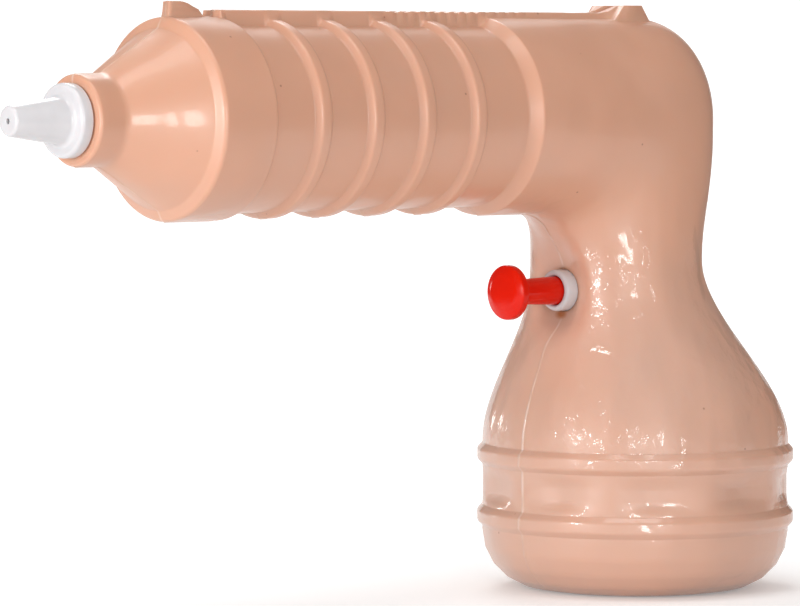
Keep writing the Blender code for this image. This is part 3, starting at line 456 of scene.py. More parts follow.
def elbow_reach(sizes, turn):
    """How far the elbow's outer line is from the fillet's middle, for each turn from up (0) to back
    (a quarter). The nearer of the barrel's top and the neck's rear bounds it, and where that is
    past the corner's centre it is the distance to the corner's arc instead."""
    heading = np.stack([np.sin(turn), np.cos(turn)], axis=-1)
    middle_x, middle_z = elbow_middle(sizes)
    neck_rear = sizes.neck_half_length - sizes.neck_x
    rear = neck_rear + ELBOW_OVERHANG * (1 - ease((turn - ELBOW_TUCK) / (np.pi / 2 - ELBOW_TUCK)))
    rise = np.full_like(turn, BARREL_Z + sizes.barrel_r - middle_z)
    room = np.stack([rear - middle_x, rise], axis=-1)
    straight = (room / np.maximum(heading, 1e-9)).min(axis=-1)
    centre = room - ELBOW_ROUND
    reached = heading * straight[:, None]
    along = (heading * centre).sum(axis=-1)
    inside = np.maximum(along**2 - (centre**2).sum(axis=-1) + ELBOW_ROUND**2, 0)
    curved = (reached > centre).all(axis=-1)
    return np.where(curved, along + np.sqrt(inside), straight), heading


def body_lines(sizes):
    """The body as stations: an inner line along the barrel's underside and down the front, an outer
    line along its top and down the rear, and half the width at each."""
    rear, band_front = rail_rear(sizes), BAND_REAR - BAND_LENGTH
    waist_stations = np.array([
        rear - SIGHT_LENGTH - EDGE, rear - SIGHT_LENGTH, rear, rear + EDGE,
        band_front + FILLET, band_front + FILLET - EDGE,
        BAND_REAR - FILLET - EDGE, BAND_REAR - FILLET,
    ])
    edges = np.array([
        GROOVE_START - GROOVE_SLOPE, GROOVE_START, GROOVE_END, GROOVE_END + GROOVE_SLOPE,
    ])
    grooves = GROOVE_FIRST + GROOVE_PITCH * np.arange(GROOVES)[:, None] + GROOVE_PITCH * edges
    waist_stations = np.concatenate([waist_stations, grooves.ravel()])
    barrel = dense(barrel_outline(sizes), BARREL_SPACING, waist_stations)
    x = barrel[:, 1]
    inner = [np.stack([x, BARREL_Z - barrel[:, 0]], axis=1)]
    outer = [np.stack([x, BARREL_Z + barrel[:, 0]], axis=1)]
    half = [barrel[:, 0]]

    share = np.linspace(0, 1, ELBOW_ROWS)[1:]
    turn = np.pi / 2 * (share + np.sin(2 * np.pi * share) / 12)
    reach, heading = elbow_reach(sizes, turn)
    middle = np.array(elbow_middle(sizes))
    inner.append(middle + heading * NECK_FILLET)
    outer.append(middle + heading * reach[:, None])
    half.append(sizes.barrel_r + (sizes.neck_half_width - sizes.barrel_r) * ease(share))

    height = middle[1] - ELBOW_STRAIGHT - SHOULDER_Z
    rise = np.linspace(1, 0, NECK_ROWS)
    forward = ease(rise / FRONT_SHARE)
    back = ease(rise / REAR_SHARE)
    z = SHOULDER_Z + rise * height
    neck_front = -sizes.neck_x - sizes.neck_half_length
    neck_rear = sizes.neck_half_length - sizes.neck_x
    inner.append(np.stack([-sizes.tank_r + (sizes.tank_r + neck_front) * forward, z], axis=1))
    outer.append(np.stack([sizes.tank_r + (neck_rear - sizes.tank_r) * back, z], axis=1))
    half.append(sizes.tank_r + (sizes.neck_half_width - sizes.tank_r) * back)

    tank = dense(tank_outline(sizes), TANK_SPACING)[1:]
    inner.append(np.stack([-tank[:, 0], tank[:, 1]], axis=1))
    outer.append(np.stack([tank[:, 0], tank[:, 1]], axis=1))
    half.append(tank[:, 0])
    return np.concatenate(inner), np.concatenate(outer), np.concatenate(half)


def rail_rear(sizes):
    """The rail ends where the elbow starts to round."""
    return sizes.neck_half_length - sizes.neck_x + ELBOW_OVERHANG - ELBOW_ROUND


def half_shell(sizes, side):
    """One half of the body as a grid. A point is the middle of its station's two lines, plus half
    their distance times cos a, plus the half width times sin a to the side. The angle a runs from
    the top and rear (0) to the underside and front (a half turn), and its steps are closest at
    both seams: a = t - 0.9 sin(2 t) / 2."""
    inner, outer, half_width = body_lines(sizes)
    t = np.linspace(0, np.pi, HALF_COLUMNS)
    angle = t - 0.9 * np.sin(2 * t) / 2
    cos, sin = np.cos(angle)[None, :], np.sin(angle)[None, :]
    middle, arm = (inner + outer) / 2, (outer - inner) / 2
    reach = np.linalg.norm(arm, axis=1)

    low, high = HOOP_HEIGHTS[1] + TANK_HOOP_WIDTH / 2, HOOP_HEIGHTS[0] - TANK_HOOP_WIDTH / 2
    level = np.where(np.abs(arm[:, 1]) < 1e-6, middle[:, 1], 0)
    fluted = plateau(level, low + FLUTE_RUNOUT, high - FLUTE_RUNOUT, FLUTE_RUNOUT * 0.8)
    groove = sizes.flute_depth * fluted[:, None] * (1 - np.cos(sizes.flutes * angle))[None, :] / 2
    share = 1 - groove / np.maximum(reach, 1e-6)[:, None]

    gap = sizes.seam_gap / 2
    x = middle[:, :1] + arm[:, :1] * share * cos
    z = middle[:, 1:] + arm[:, 1:] * share * cos
    y = gap + np.maximum(half_width - gap, 0)[:, None] * share * sin

    z = raise_sights(sizes, x, y, z, cos)
    x, z = raise_seam(sizes, x, y, z, arm, reach, cos)
    x, y, z, keep = sink_pump(sizes, x, y, z, cos)
    return np.stack([x + TANK_X, side * y, z], axis=-1), keep


def raise_sights(sizes, x, y, z, cos):
    """Lifts the top of the barrel to the level of the rail, the front blade and the notched rear
    sight, wherever their plans cover it, and cuts the grooves across the rail."""
    top = cos > TOP_COS
    rail_top = BARREL_Z + sizes.barrel_r + sizes.rail_proud
    sight_top = rail_top + sizes.sight_proud
    rear = rail_rear(sizes)
    front = BAND_REAR - BAND_LENGTH + FILLET
    rail = plateau(y, -1, RAIL_HALF_WIDTH - EDGE, EDGE)
    rail = rail * plateau(x, BAND_REAR - FILLET, rear, EDGE)
    z = np.where(top, z + np.maximum(rail_top - z, 0) * rail, z)
    phase = np.mod((x - GROOVE_FIRST) / GROOVE_PITCH, 1)
    cut = plateau(phase, GROOVE_START, GROOVE_END, GROOVE_SLOPE)
    cut = cut * plateau(x, GROOVE_FIRST, GROOVE_FIRST + GROOVES * GROOVE_PITCH, 1e-5)
    cut = cut * plateau(y, -1, RAIL_HALF_WIDTH - 2 * EDGE, EDGE)
    z = np.where(top, z - sizes.groove_depth * cut, z)

    blade = plateau(y, -1, BLADE_HALF_WIDTH - EDGE, EDGE)
    blade = blade * plateau(x, front, front + SIGHT_LENGTH, EDGE)
    slope = ease((x - front - SIGHT_LENGTH + BLADE_SLOPE) / BLADE_SLOPE)
    blade_top = sight_top - (sight_top - rail_top) * slope
    z = np.where(top, z + np.maximum(blade_top - z, 0) * blade, z)

    sight = plateau(y, NOTCH_HALF_WIDTH, REAR_SIGHT_HALF_WIDTH - EDGE, EDGE)
    sight = sight * plateau(x, rear - SIGHT_LENGTH, rear, EDGE)
    return np.where(top, z + np.maximum(sight_top - z, 0) * sight, z)


def raise_seam(sizes, x, y, z, arm, reach, cos):
    """The flash that the mould leaves: a bead of height times exp(-(y / 0.22 mm)2) all along the
    seam. The skin beside it lies that much lower, so that the bead stays inside the solids' box."""
    out = arm / np.maximum(reach, 1e-6)[:, None]
    lift = sizes.bead * (np.exp(-((y / BEAD_WIDTH) ** 2)) * np.sign(cos) - cos)
    return x + out[:, :1] * lift, z + out[:, 1:] * lift


def sink_pump(sizes, x, y, z, cos):
    """Presses a soft dimple round the pump's axis: the skin is drawn to the plane behind the collar
    by exp(-(distance / dimple radius)4). The hole for the cylinder opens in it: points inside move
    out to its edge."""
    neck_top = elbow_middle(sizes)[1] + NECK_FILLET / 2
    near = (cos < 0) & (np.abs(z - PUMP_Z) < DIMPLE_REACH) & (z < neck_top)
    away = np.hypot(y, z - PUMP_Z)
    floor = PUMP_X - TANK_X + COLLAR_PROUD
    drawn = np.where(near, np.exp(-((away / sizes.dimple_r) ** 4)), 0)
    x = x + np.maximum(floor - x, 0) * drawn
    inside = near & (away < HOLE_R)
    scale = np.where(inside, HOLE_R / np.maximum(away, 1e-6), 1)
    return x, y * scale, PUMP_Z + (z - PUMP_Z) * scale, ~inside


def add_node(tree, kind, inputs=(), **settings):
    """Adds one node. Settings are its own properties. Each input is a socket's value, the socket
    that feeds it, or the node whose first output does."""
    node = tree.nodes.new(kind)
    for key, value in settings.items():
        setattr(node, key, value)
    for key, value in dict(inputs).items():
        value = value.outputs[0] if isinstance(value, bpy.types.Node) else value
        if isinstance(value, bpy.types.NodeSocket):
            tree.links.new(value, node.inputs[key])
        else:
            node.inputs[key].default_value = value
    return node


def new_material(name, shown_colour):
    """An empty node material, add_node for its tree, and its place coordinates."""
    material = bpy.data.materials.new(name)
    material.use_nodes = True
    material.diffuse_color = shown_colour
    material.node_tree.nodes.clear()
    add = partial(add_node, material.node_tree)
    return material, add, add("ShaderNodeTexCoord").outputs["Object"]


def mottle(add, place, size, low, high, first, last, detail=2.0, **inputs):
    """A value that drifts over size metres: noise whose low to high runs from first to last."""
    noise = add("ShaderNodeTexNoise", {
        "Vector": place, "Scale": 1 / size, "Detail": detail, **inputs,
    })
    return add("ShaderNodeMapRange", {0: noise, 1: low, 2: high, 3: first, 4: last})


def vinyl(colours):
    """Plasticised PVC, slush-moulded in two halves and glued. The vinyl itself is satin, which
    gives it a broad pale sheen, and the plasticiser on it is a thin glossy film that dried in
    crinkles, so that sharp highlights break up. Light sinks in a little, tone drifts over some
    centimetres and is deeper to the rear as painted shade, dust shows as rare specks, the flash on
    the parting line is paler, glue browns a run below the collar and painted shade darkens a ring
    round the collar's edge."""
    material, add, place = new_material("soft_vinyl_moulded", colours.vinyl)
    x, y, z = add("ShaderNodeSeparateXYZ", {0: place}).outputs
    smooth = {"interpolation_type": "SMOOTHSTEP"}

    # Tone: deeper in colour in the barrel than in the tank's front, and deeper to the rear, which
    # is painted shade on the side turned away from the lamps. It drifts over 45 mm, with a faint 9
    # mm cloud in it
    raised = add("ShaderNodeMapRange", {0: z, 1: 0.045, 2: 0.095, 3: 0.0, 4: 0.75}, **smooth)
    # Painted shade: the deep tone rises towards the rear of the tank and neck
    rear = add("ShaderNodeMapRange", {
        0: x, 1: TANK_X - 0.005, 2: TANK_X + 0.030, 3: 0.0, 4: 0.8,
    }, **smooth)
    # Share of the deep tone: the barrel's tone and the painted shade to the rear
    deep = add("ShaderNodeMath", {0: raised, 1: rear}, operation="MAXIMUM")
    for drift in (
        mottle(add, place, 0.045, 0.3, 0.7, -0.1, 0.35, detail=1.0),
        mottle(add, place, 0.009, 0.3, 0.7, 0.0, 0.16, Roughness=0.4),
    ):
        deep = add("ShaderNodeMath", {0: deep, 1: drift}, operation="ADD")

    # Dust: one speck 0.5 mm across in each 9 mm cube of vinyl, of which few reach the skin
    dust = add("ShaderNodeTexVoronoi", {"Vector": place, "Scale": 1 / 0.009})
    dust = add("ShaderNodeMapRange", {0: dust, 1: 0.020, 2: 0.036, 3: 0.7, 4: 0.0})

    # Flash along the seam, 0.5 mm wide, fading in and out along its length
    across = add("ShaderNodeMath", {0: y}, operation="ABSOLUTE")
    flash = add("ShaderNodeMapRange", {0: across, 1: 0.00014, 2: 0.00044, 3: 0.42, 4: 0.0})
    broken = mottle(add, place, 0.007, 0.40, 0.60, 0.1, 1.0, detail=1.0)
    flash = add("ShaderNodeMath", {0: flash, 1: broken}, operation="MULTIPLY")

    # Dried glue in a run below the collar and painted shade in a thin ring round it, each by
    # distance from a middle, with the run's distance squeezed so that it is long along X and short
    # along Z
    glue_run_and_shade_ring = []
    for middle, squeeze, near, far, most in (
        ((PUMP_X + COLLAR_PROUD, 0.0004, PUMP_Z - 0.0056), (0.5, 1.0, 1.7), 0.0008, 0.0023, 1.0),
        # Painted shade: a ring darkened where the skin meets the collar
        ((PUMP_X + COLLAR_PROUD, 0.0, PUMP_Z), (1.0, 1.0, 1.0), 0.0049, 0.0060, 0.4),
    ):
        away = add("ShaderNodeVectorMath", {0: place, 1: middle}, operation="SUBTRACT")
        away = add("ShaderNodeVectorMath", {0: away, 1: squeeze}, operation="MULTIPLY")
        away = add("ShaderNodeVectorMath", {0: away}, operation="LENGTH").outputs["Value"]
        glue_run_and_shade_ring.append(add("ShaderNodeMapRange", {0: away, 1: near, 2: far, 3: most, 4: 0.0}))
    glue_and_shade = add("ShaderNodeMath", {0: glue_run_and_shade_ring[0], 1: glue_run_and_shade_ring[1]}, operation="MAXIMUM")

    # Mixes in the deep tone with its painted shade to the rear, the specks, the flash, and the glue
    # run with its ring of painted shade
    tone = colours.vinyl
    for share, shade in (
        (deep, colours.vinyl_deep_and_shade), (dust, colours.speck),
        (flash, colours.vinyl_pale), (glue_and_shade, colours.glue_and_shade),
    ):
        mix = add("ShaderNodeMix", {"Factor": share, 6: tone, 7: shade}, data_type="RGBA")
        tone = mix.outputs[2]

    # Waves that the soft skin takes as it cools: swells 22 mm across everywhere
    swell = add("ShaderNodeTexNoise", {"Vector": place, "Scale": 1 / 0.022, "Detail": 1.0})
    bump = add("ShaderNodeBump", {"Height": swell, "Strength": 1.0, "Distance": 0.0015})

    # Where the neck was pulled from its mould, folds 8 mm apart run down it and on to the tank
    neck = add("ShaderNodeMapRange", {0: z, 1: 0.012, 2: 0.040, 3: 0.25, 4: 1.0}, **smooth)
    barrel = add("ShaderNodeMapRange", {0: z, 1: 0.078, 2: 0.100, 3: 1.0, 4: 0.12}, **smooth)
    pulled = add("ShaderNodeMath", {0: neck, 1: barrel}, operation="MULTIPLY")
    drawn = add("ShaderNodeMapping", {"Vector": place, "Scale": (1.0, 1.0, 0.22)})
    fold = add("ShaderNodeTexNoise", {
        "Vector": drawn, "Scale": 1 / 0.008, "Detail": 1.0, "Roughness": 0.35,
    })
    fold = add("ShaderNodeMath", {0: fold, 1: pulled}, operation="MULTIPLY")
    bump = add("ShaderNodeBump", {
        "Height": fold, "Strength": 1.0, "Distance": 0.0010, "Normal": bump,
    })

    # Crinkles as in a film that dried too fast: facets 4 mm across with finer ones of 2 mm on them,
    # in patches some 12 mm across, and weaker on the +Y side
    patch = add("ShaderNodeTexNoise", {"Vector": place, "Scale": 1 / 0.012, "Detail": 1.0})
    patch = add("ShaderNodeMapRange", {0: patch, 1: 0.40, 2: 0.54, 3: 0.0, 4: 1.0}, **smooth)
    side = add("ShaderNodeMapRange", {0: y, 1: -0.006, 2: 0.004, 3: 1.0, 4: 0.3})
    for limit in (pulled, side):
        patch = add("ShaderNodeMath", {0: patch, 1: limit}, operation="MULTIPLY")
    bend = add("ShaderNodeTexNoise", {"Vector": place, "Scale": 1 / 0.003, "Detail": 1.0})
    bend = add("ShaderNodeVectorMath", {
        0: bend.outputs["Color"], "Scale": 0.0016,
    }, operation="SCALE")
    bent = add("ShaderNodeVectorMath", {0: place, 1: bend}, operation="ADD")
    bent = add("ShaderNodeMapping", {"Vector": bent, "Scale": (1.0, 1.0, 0.65)})
    facets = add("ShaderNodeTexVoronoi", {
        "Vector": bent, "Scale": 1 / 0.004, "Smoothness": 0.12,
    }, feature="SMOOTH_F1")
    crackle = add("ShaderNodeTexNoise", {
        "Vector": place, "Scale": 1 / 0.002, "Detail": 2.0, "Roughness": 0.5, "Distortion": 0.6,
    })
    crinkle = add("ShaderNodeMath", {0: crackle, 1: 0.55, 2: facets}, operation="MULTIPLY_ADD")
    crinkle = add("ShaderNodeMath", {0: crinkle, 1: patch}, operation="MULTIPLY")
    film_bump = add("ShaderNodeBump", {
        "Height": crinkle, "Strength": 1.0, "Distance": 0.00055, "Normal": bump,
    })
    haze = add("ShaderNodeMapRange", {0: swell, 1: 0.3, 2: 0.7, 3: 0.40, 4: 0.48})
    film = add("ShaderNodeMapRange", {0: barrel, 3: 0.14, 4: 0.50})
    shader = add("ShaderNodeBsdfPrincipled", {
        "Base Color": tone,
        "Roughness": haze,
        "IOR": 1.53,
        "Specular IOR Level": 0.74,
        "Subsurface Weight": 0.22,
        "Subsurface Radius": (1.0, 0.42, 0.24),
        "Subsurface Scale": 0.003,
        "Coat Weight": film,
        "Coat Roughness": 0.10,
        "Normal": bump,
        "Coat Normal": film_bump,
    })
    add("ShaderNodeOutputMaterial", {"Surface": shader})
    return material


def hard_plastic(name, shown_colour, roughness, depth=0.2, scatter=0.15, mirror=0.5):
    """Injection-moulded polystyrene: even and glossy, tone a little deeper in places where the melt
    met, and a trace of ripple from the mould's polish, 1.5 mm apart."""
    material, add, place = new_material(name, shown_colour)
    share = mottle(add, place, 0.005, 0.35, 0.7, 0.0, depth)
    deep = tuple(c * 0.72 for c in shown_colour[:3]) + (1.0,)
    tone = add("ShaderNodeMix", {"Factor": share, 6: shown_colour, 7: deep}, data_type="RGBA")
    ripple = add("ShaderNodeTexNoise", {"Vector": place, "Scale": 1 / 0.0015, "Detail": 1.0})
    bump = add("ShaderNodeBump", {"Height": ripple, "Strength": 0.5, "Distance": 0.00003})
    shader = add("ShaderNodeBsdfPrincipled", {
        "Base Color": tone.outputs[2],
        "Roughness": roughness,
        "IOR": 1.55,
        "Specular IOR Level": mirror,
        "Subsurface Weight": scatter,
        "Subsurface Radius": (1.0, 0.5, 0.4),
        "Subsurface Scale": 0.001,
        "Normal": bump,
    })
    add("ShaderNodeOutputMaterial", {"Surface": shader})
    return material


def soft_rubber(colours):
    """Nitrile rubber, moulded in rings: matte black with a greyish bloom in 1 mm patches."""
    material, add, place = new_material("nitrile_rubber_moulded", colours.rubber)
    share = mottle(add, place, 0.001, 0.4, 0.75, 0.0, 0.5, detail=3.0)
    tone = add("ShaderNodeMix", {
        "Factor": share, 6: colours.rubber, 7: linear("#3a3836"),
    }, data_type="RGBA")
    shader = add("ShaderNodeBsdfPrincipled", {
        "Base Color": tone.outputs[2], "Roughness": 0.65, "IOR": 1.52,
    })
    add("ShaderNodeOutputMaterial", {"Surface": shader})
    return material


def drawn_steel(colours):
    """Stainless spring wire and balls: bright metal, finely scratched by drawing and tumbling."""
    material, add, place = new_material("stainless_steel_drawn", colours.steel)
    rough = mottle(add, place, 0.0004, 0.3, 0.7, 0.18, 0.34, detail=3.0)
    shader = add("ShaderNodeBsdfPrincipled", {
        "Base Color": colours.steel, "Metallic": 1.0, "Roughness": rough,
    })
    add("ShaderNodeOutputMaterial", {"Surface": shader})
    return material


def clear_tube(colours):
    """Extruded clear PVC tube: glassy, with a milky haze that drifts along it."""
    material, add, place = new_material("clear_vinyl_tube_extruded", colours.tube)
    rough = mottle(add, place, 0.012, 0.3, 0.7, 0.12, 0.30)
    shader = add("ShaderNodeBsdfPrincipled", {
        "Base Color": colours.tube, "Roughness": rough, "IOR": 1.53, "Transmission Weight": 0.75,
    })
    add("ShaderNodeOutputMaterial", {"Surface": shader})
    return material


def studio_paper(colours):
    """A sheet of white background paper: matte, with a barely visible tooth. Away from the object
    it gets less light, so what the camera, gloss and clear plastic see of it is lifted to white
    there. The object's shadow stays near its foot. Seen from its back the sheet is clear, so that
    it hides nothing in a view from behind or from below."""
    material, add, place = new_material("studio_paper", colours.floor)
    rough = mottle(add, place, 0.002, 0.3, 0.7, 0.7, 0.9)
    paper = add("ShaderNodeBsdfPrincipled", {"Base Color": colours.floor, "Roughness": rough})
    path = add("ShaderNodeLightPath").outputs
    seen = path["Is Camera Ray"]
    for ray in ("Is Glossy Ray", "Is Transmission Ray"):
        seen = add("ShaderNodeMath", {0: seen, 1: path[ray]}, operation="MAXIMUM")
    away = add("ShaderNodeVectorMath", {0: place}, operation="LENGTH").outputs["Value"]
    lift = add("ShaderNodeMapRange", {0: away, 1: 0.10, 2: 0.45, 3: 0.24, 4: 0.45})
    lift = add("ShaderNodeMath", {0: seen, 1: lift}, operation="MULTIPLY")
    glow = add("ShaderNodeEmission", {"Strength": lift})
    both = add("ShaderNodeAddShader", {0: paper, 1: glow})
    behind = add("ShaderNodeNewGeometry").outputs["Backfacing"]
    clear = add("ShaderNodeBsdfTransparent")
    sheet = add("ShaderNodeMixShader", {0: behind, 1: both, 2: clear})
    add("ShaderNodeOutputMaterial", {"Surface": sheet})
    return material


def studio_world():
    """Even white light. The camera sees it as plain white, and so does clear plastic. Gloss sees
    the dimmer room that surrounds the lamps and the paper, which keeps the colours full."""
    world = bpy.data.worlds.new("studio_light")
    world.use_nodes = True
    world.node_tree.nodes.clear()
    add = partial(add_node, world.node_tree)
    path = add("ShaderNodeLightPath").outputs
    room = add("ShaderNodeMapRange", {0: path["Is Glossy Ray"], 3: AMBIENT, 4: ROOM_IN_GLOSS})
    seen = add("ShaderNodeMath", {
        0: path["Is Camera Ray"], 1: path["Is Transmission Ray"],
    }, operation="MAXIMUM")
    strength = add("ShaderNodeMath", {0: room, 1: seen}, operation="MAXIMUM")
    sky = add("ShaderNodeBackground", {"Color": (1, 1, 1, 1), "Strength": strength})
    add("ShaderNodeOutputWorld", {"Surface": sky})
    return world


class SQUIRTER_OT_shells(Operator):
    """Make both half shells of the body"""

    bl_idname = "squirter.shells"
    bl_label = "Half Shells"

    def execute(self, context):
        sizes = context.scene.squirter_sizes
        material = vinyl(context.scene.squirter_colours)
        for name, side in (("left_shell", -1), ("right_shell", 1)):
            grid, keep = half_shell(sizes, side)
            mesh = grid_mesh(grid, keep=keep)
            piece = show(name + "_skin", mesh, material, "housing", "peach_vinyl", name)
            wall = piece.modifiers.new("wall", "SOLIDIFY")
            wall.thickness = sizes.wall
            wall.offset = -1
        return {"FINISHED"}


class SQUIRTER_OT_pump(Operator):
    """Make the pump's cylinder, whose front lip is the collar that shows"""

    bl_idname = "squirter.pump"
    bl_label = "Pump Cylinder"

    def execute(self, context):
        flange, flange_r, flange_thick = 0.0109, 0.0070, 0.0015
        end, end_wall, lip, bore_r, port_r = 0.0260, 0.0020, 0.0020, 0.0040, 0.0012
        outline = rounded([
            (STEM_R + SLIP, lip, 0),
            (STEM_R + SLIP, 0, 0.0005),
            (COLLAR_R, 0, 0.0011),
            (COLLAR_R, flange, 0),
            (flange_r, flange, CRISP),
            (flange_r, flange + flange_thick, CRISP),
            (COLLAR_R, flange + flange_thick, 0),
            (COLLAR_R, end, CRISP),
            (port_r, end, 0),
            (port_r, end - end_wall, 0),
            (bore_r, end - end_wall, 0),
            (bore_r, lip, 0),
        ])
        colours = context.scene.squirter_colours
        material = hard_plastic("white_polystyrene", colours.white, 0.24)
        mesh = turned(outline, (PUMP_X, 0, PUMP_Z), "X", closed=True)
        show("pump_collar", mesh, material, "housing", "white_plastic", "pump_cylinder")
        return {"FINISHED"}


class SQUIRTER_OT_trigger(Operator):
    """Make the red stem with its piston, and the domed knob pressed on its front"""

    bl_idname = "squirter.trigger"
    bl_label = "Trigger"

    def execute(self, context):
        colours = context.scene.squirter_colours
        material = hard_plastic("red_polystyrene", colours.red, 0.16, 0.25, 0.1, 0.18)
        origin = (PUMP_X, 0, PUMP_Z)
        front = KNOB_STATION + SEAT_GAP
        peg, peg_r = 0.0026, 0.0020
        piston, piston_length, piston_r, tail = 0.0023, 0.0045, 0.00375, 0.0075
        groove, groove_half, groove_r = 0.00455, 0.00085, 0.0023
        stem = np.array([
            (0, front - peg),
            (peg_r, front - peg),
            (peg_r, front),
            (STEM_FRONT_R, front),
            (STEM_R, 0),
            (STEM_R, piston),
            (piston_r, piston),
            (piston_r, groove - groove_half),
            (groove_r, groove - groove_half),
            (groove_r, groove + groove_half),
            (piston_r, groove + groove_half),
            (piston_r, piston + piston_length),
            (peg_r, piston + piston_length),
            (peg_r, piston + tail),
            (0, piston + tail),
        ])
        stem = turned(stem, origin, "X")
        show("stem", stem, material, "plunger", "red_plastic", "plunger_rod")

        back, hub, rim = KNOB_STATION + 0.0005, KNOB_STATION - 0.0013, KNOB_STATION - 0.0033
        back_r, hub_r, knob_r, dome_r = 0.0041, 0.0050, 0.0063, 0.0042
        socket, socket_r, sleeve_r = 0.0029, 0.00215, STEM_FRONT_R + 0.00002
        knob = rounded([
            (0, front - socket, 0),
            (socket_r, front - socket, 0),
            (socket_r, KNOB_STATION, 0),
            (sleeve_r, KNOB_STATION, 0),
            (sleeve_r, back, 0),
            (back_r, back, 0.0007),
            (hub_r, hub, 0),
            (knob_r, hub - 0.0001, 0.0005),
            (knob_r, rim, 0.0010),
            (dome_r, rim - 0.0008, 0.0040),
            (0, rim - 0.0012, 0),
        ], steps=8)
        knob = turned(knob, origin, "X", steps=128)
        show("knob", knob, material, "plunger", "red_plastic", "trigger_knob")
        return {"FINISHED"}


class SQUIRTER_OT_nozzle(Operator):
    """Make the tapered nozzle with its flange, shank and barb"""

    bl_idname = "squirter.nozzle"
    bl_label = "Nozzle"

    def execute(self, context):
        back = BODY_FRONT - SEAT_GAP
        front, shank = back - 0.0030, BODY_FRONT + 0.0080
        barb, end = shank + 0.0065, shank + 0.0080
        tip_r, taper_r, flange_r, shank_r = 0.0032, 0.0052, 0.0080, 0.0044
        barb_r, end_r, bore_r, orifice_r = 0.00135, 0.0012, 0.0008, 0.0006
        outline = rounded([
            (orifice_r, NOZZLE_TIP + 0.0032, 0),
            (orifice_r, NOZZLE_TIP, 0.0002),
            (tip_r, NOZZLE_TIP, 0.0008),
            (taper_r, front, 0.0012),
            (flange_r, front, 0.0009),
            (flange_r, back, 0.0004),
            (shank_r, back, 0),
            (shank_r, shank, CRISP),
            (barb_r, shank, 0),
            (barb_r, barb, 0),
            (end_r, end, 0),
            (bore_r, end, 0),
            (bore_r, NOZZLE_TIP + 0.0040, 0),
        ], steps=8)
        colours = context.scene.squirter_colours
        material = hard_plastic("white_polystyrene_nozzle", colours.white, 0.24)
        mesh = turned(outline, (TANK_X, 0, BARREL_Z), "X", closed=True)
        show("nozzle_tip", mesh, material, "housing", "white_plastic", "nozzle")
        return {"FINISHED"}


class SQUIRTER_OT_filler(Operator):
    """Make the bush under the tank and the soft plug with its grip"""

    bl_idname = "squirter.filler"
    bl_label = "Filler Bush and Plug"

    def execute(self, context):
        colours = context.scene.squirter_colours
        origin = (TANK_X, 0, 0)
        top = RECESS_HEIGHT - SEAT_GAP
        bottom, sleeve_top = top - 0.0012, top + 0.0048
        bore_r, sleeve_r, flange_r = 0.0055, 0.0073, 0.0098
        bush = rounded([
            (bore_r, bottom, CRISP),
            (flange_r, bottom, 0.0005),
            (flange_r, top, 0.0002),
            (sleeve_r, top, 0),
            (sleeve_r, sleeve_top, CRISP),
            (bore_r, sleeve_top, CRISP),
            (bore_r, bottom + 0.0020, 0),
        ])
        material = hard_plastic("white_polystyrene_bush", colours.white, 0.28)
        bush = turned(bush, origin, "Z", closed=True)
        show("bush", bush, material, "housing", "white_plastic", "filler_bush")

        head_top = bottom - SEAT_GAP
        head, hollow, skirt = head_top - 0.0018, head_top + 0.0003, head_top + 0.0066
        head_r, skirt_r, hollow_r = 0.0088, 0.00535, 0.00405
        plug = rounded([
            (0, head, 0),
            (head_r, head, 0.0007),
            (head_r, head_top, 0.0004),
            (skirt_r, head_top, 0),
            (skirt_r, skirt, 0.0006),
            (hollow_r, skirt, CRISP),
            (hollow_r, hollow, CRISP),
            (0, hollow, 0),
        ], steps=6)
        material = hard_plastic("red_soft_polythene", colours.red, 0.32, 0.25, 0.2, 0.3)
        plug = turned(plug, origin, "Z")
        show("plug", plug, material, "filler_plug", "red_plastic", "filler_plug")

        # The grip is a bar with rounded ends: each coordinate is half its size times a squared
        # sine or cosine. Its middle is 0.1 mm above the head's underside
        half_long, half_thick, half_high, sunk = 0.0060, 0.0011, 0.0014, 0.0001
        u = np.linspace(0, 2 * np.pi, 64, endpoint=False)[None, :]
        v = np.linspace(-np.pi / 2, np.pi / 2, 33)[:, None]
        grid = np.stack([
            TANK_X + half_long * squared(np.cos(v)) * squared(np.cos(u)),
            half_thick * squared(np.cos(v)) * squared(np.sin(u)),
            head + sunk + half_high * squared(np.sin(v)) * np.ones_like(u),
        ], axis=-1)
        grip = grid_mesh(grid, wrap_columns=True)
        show("plug_grip", grip, material, "filler_plug", "red_plastic")
        return {"FINISHED"}


class SQUIRTER_OT_inside(Operator):
    """Wind both springs and give the other pieces inside their materials"""

    bl_idname = "squirter.inside"
    bl_label = "Inside Pieces"

    def execute(self, context):
        colours = context.scene.squirter_colours
        white = hard_plastic("white_polystyrene_fittings", colours.white, 0.3)
        rubber, steel, tube = soft_rubber(colours), drawn_steel(colours), clear_tube(colours)
        for nodes, material in (
            (("valve_block", "inlet_fitting", "outlet_fitting"), white),
            (("cylinder_seal", "piston_seal"), rubber),
            (("inlet_ball", "outlet_ball"), steel),
            (("dip_tube", "delivery_hose"), tube),
        ):
            for node in nodes:
                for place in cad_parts[node].material_slots:
                    place.material = material

        # Both springs are wound to fill their solids' boxes, and each gets a mesh of its own
        for node, joint, along, turns, radius, wire in SPRINGS:
            mesh = coil(node, along, turns, radius, wire)
            spring = show(node + "_wire", mesh, steel, "housing", "spring_steel", node)
            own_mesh(spring)
        return {"FINISHED"}


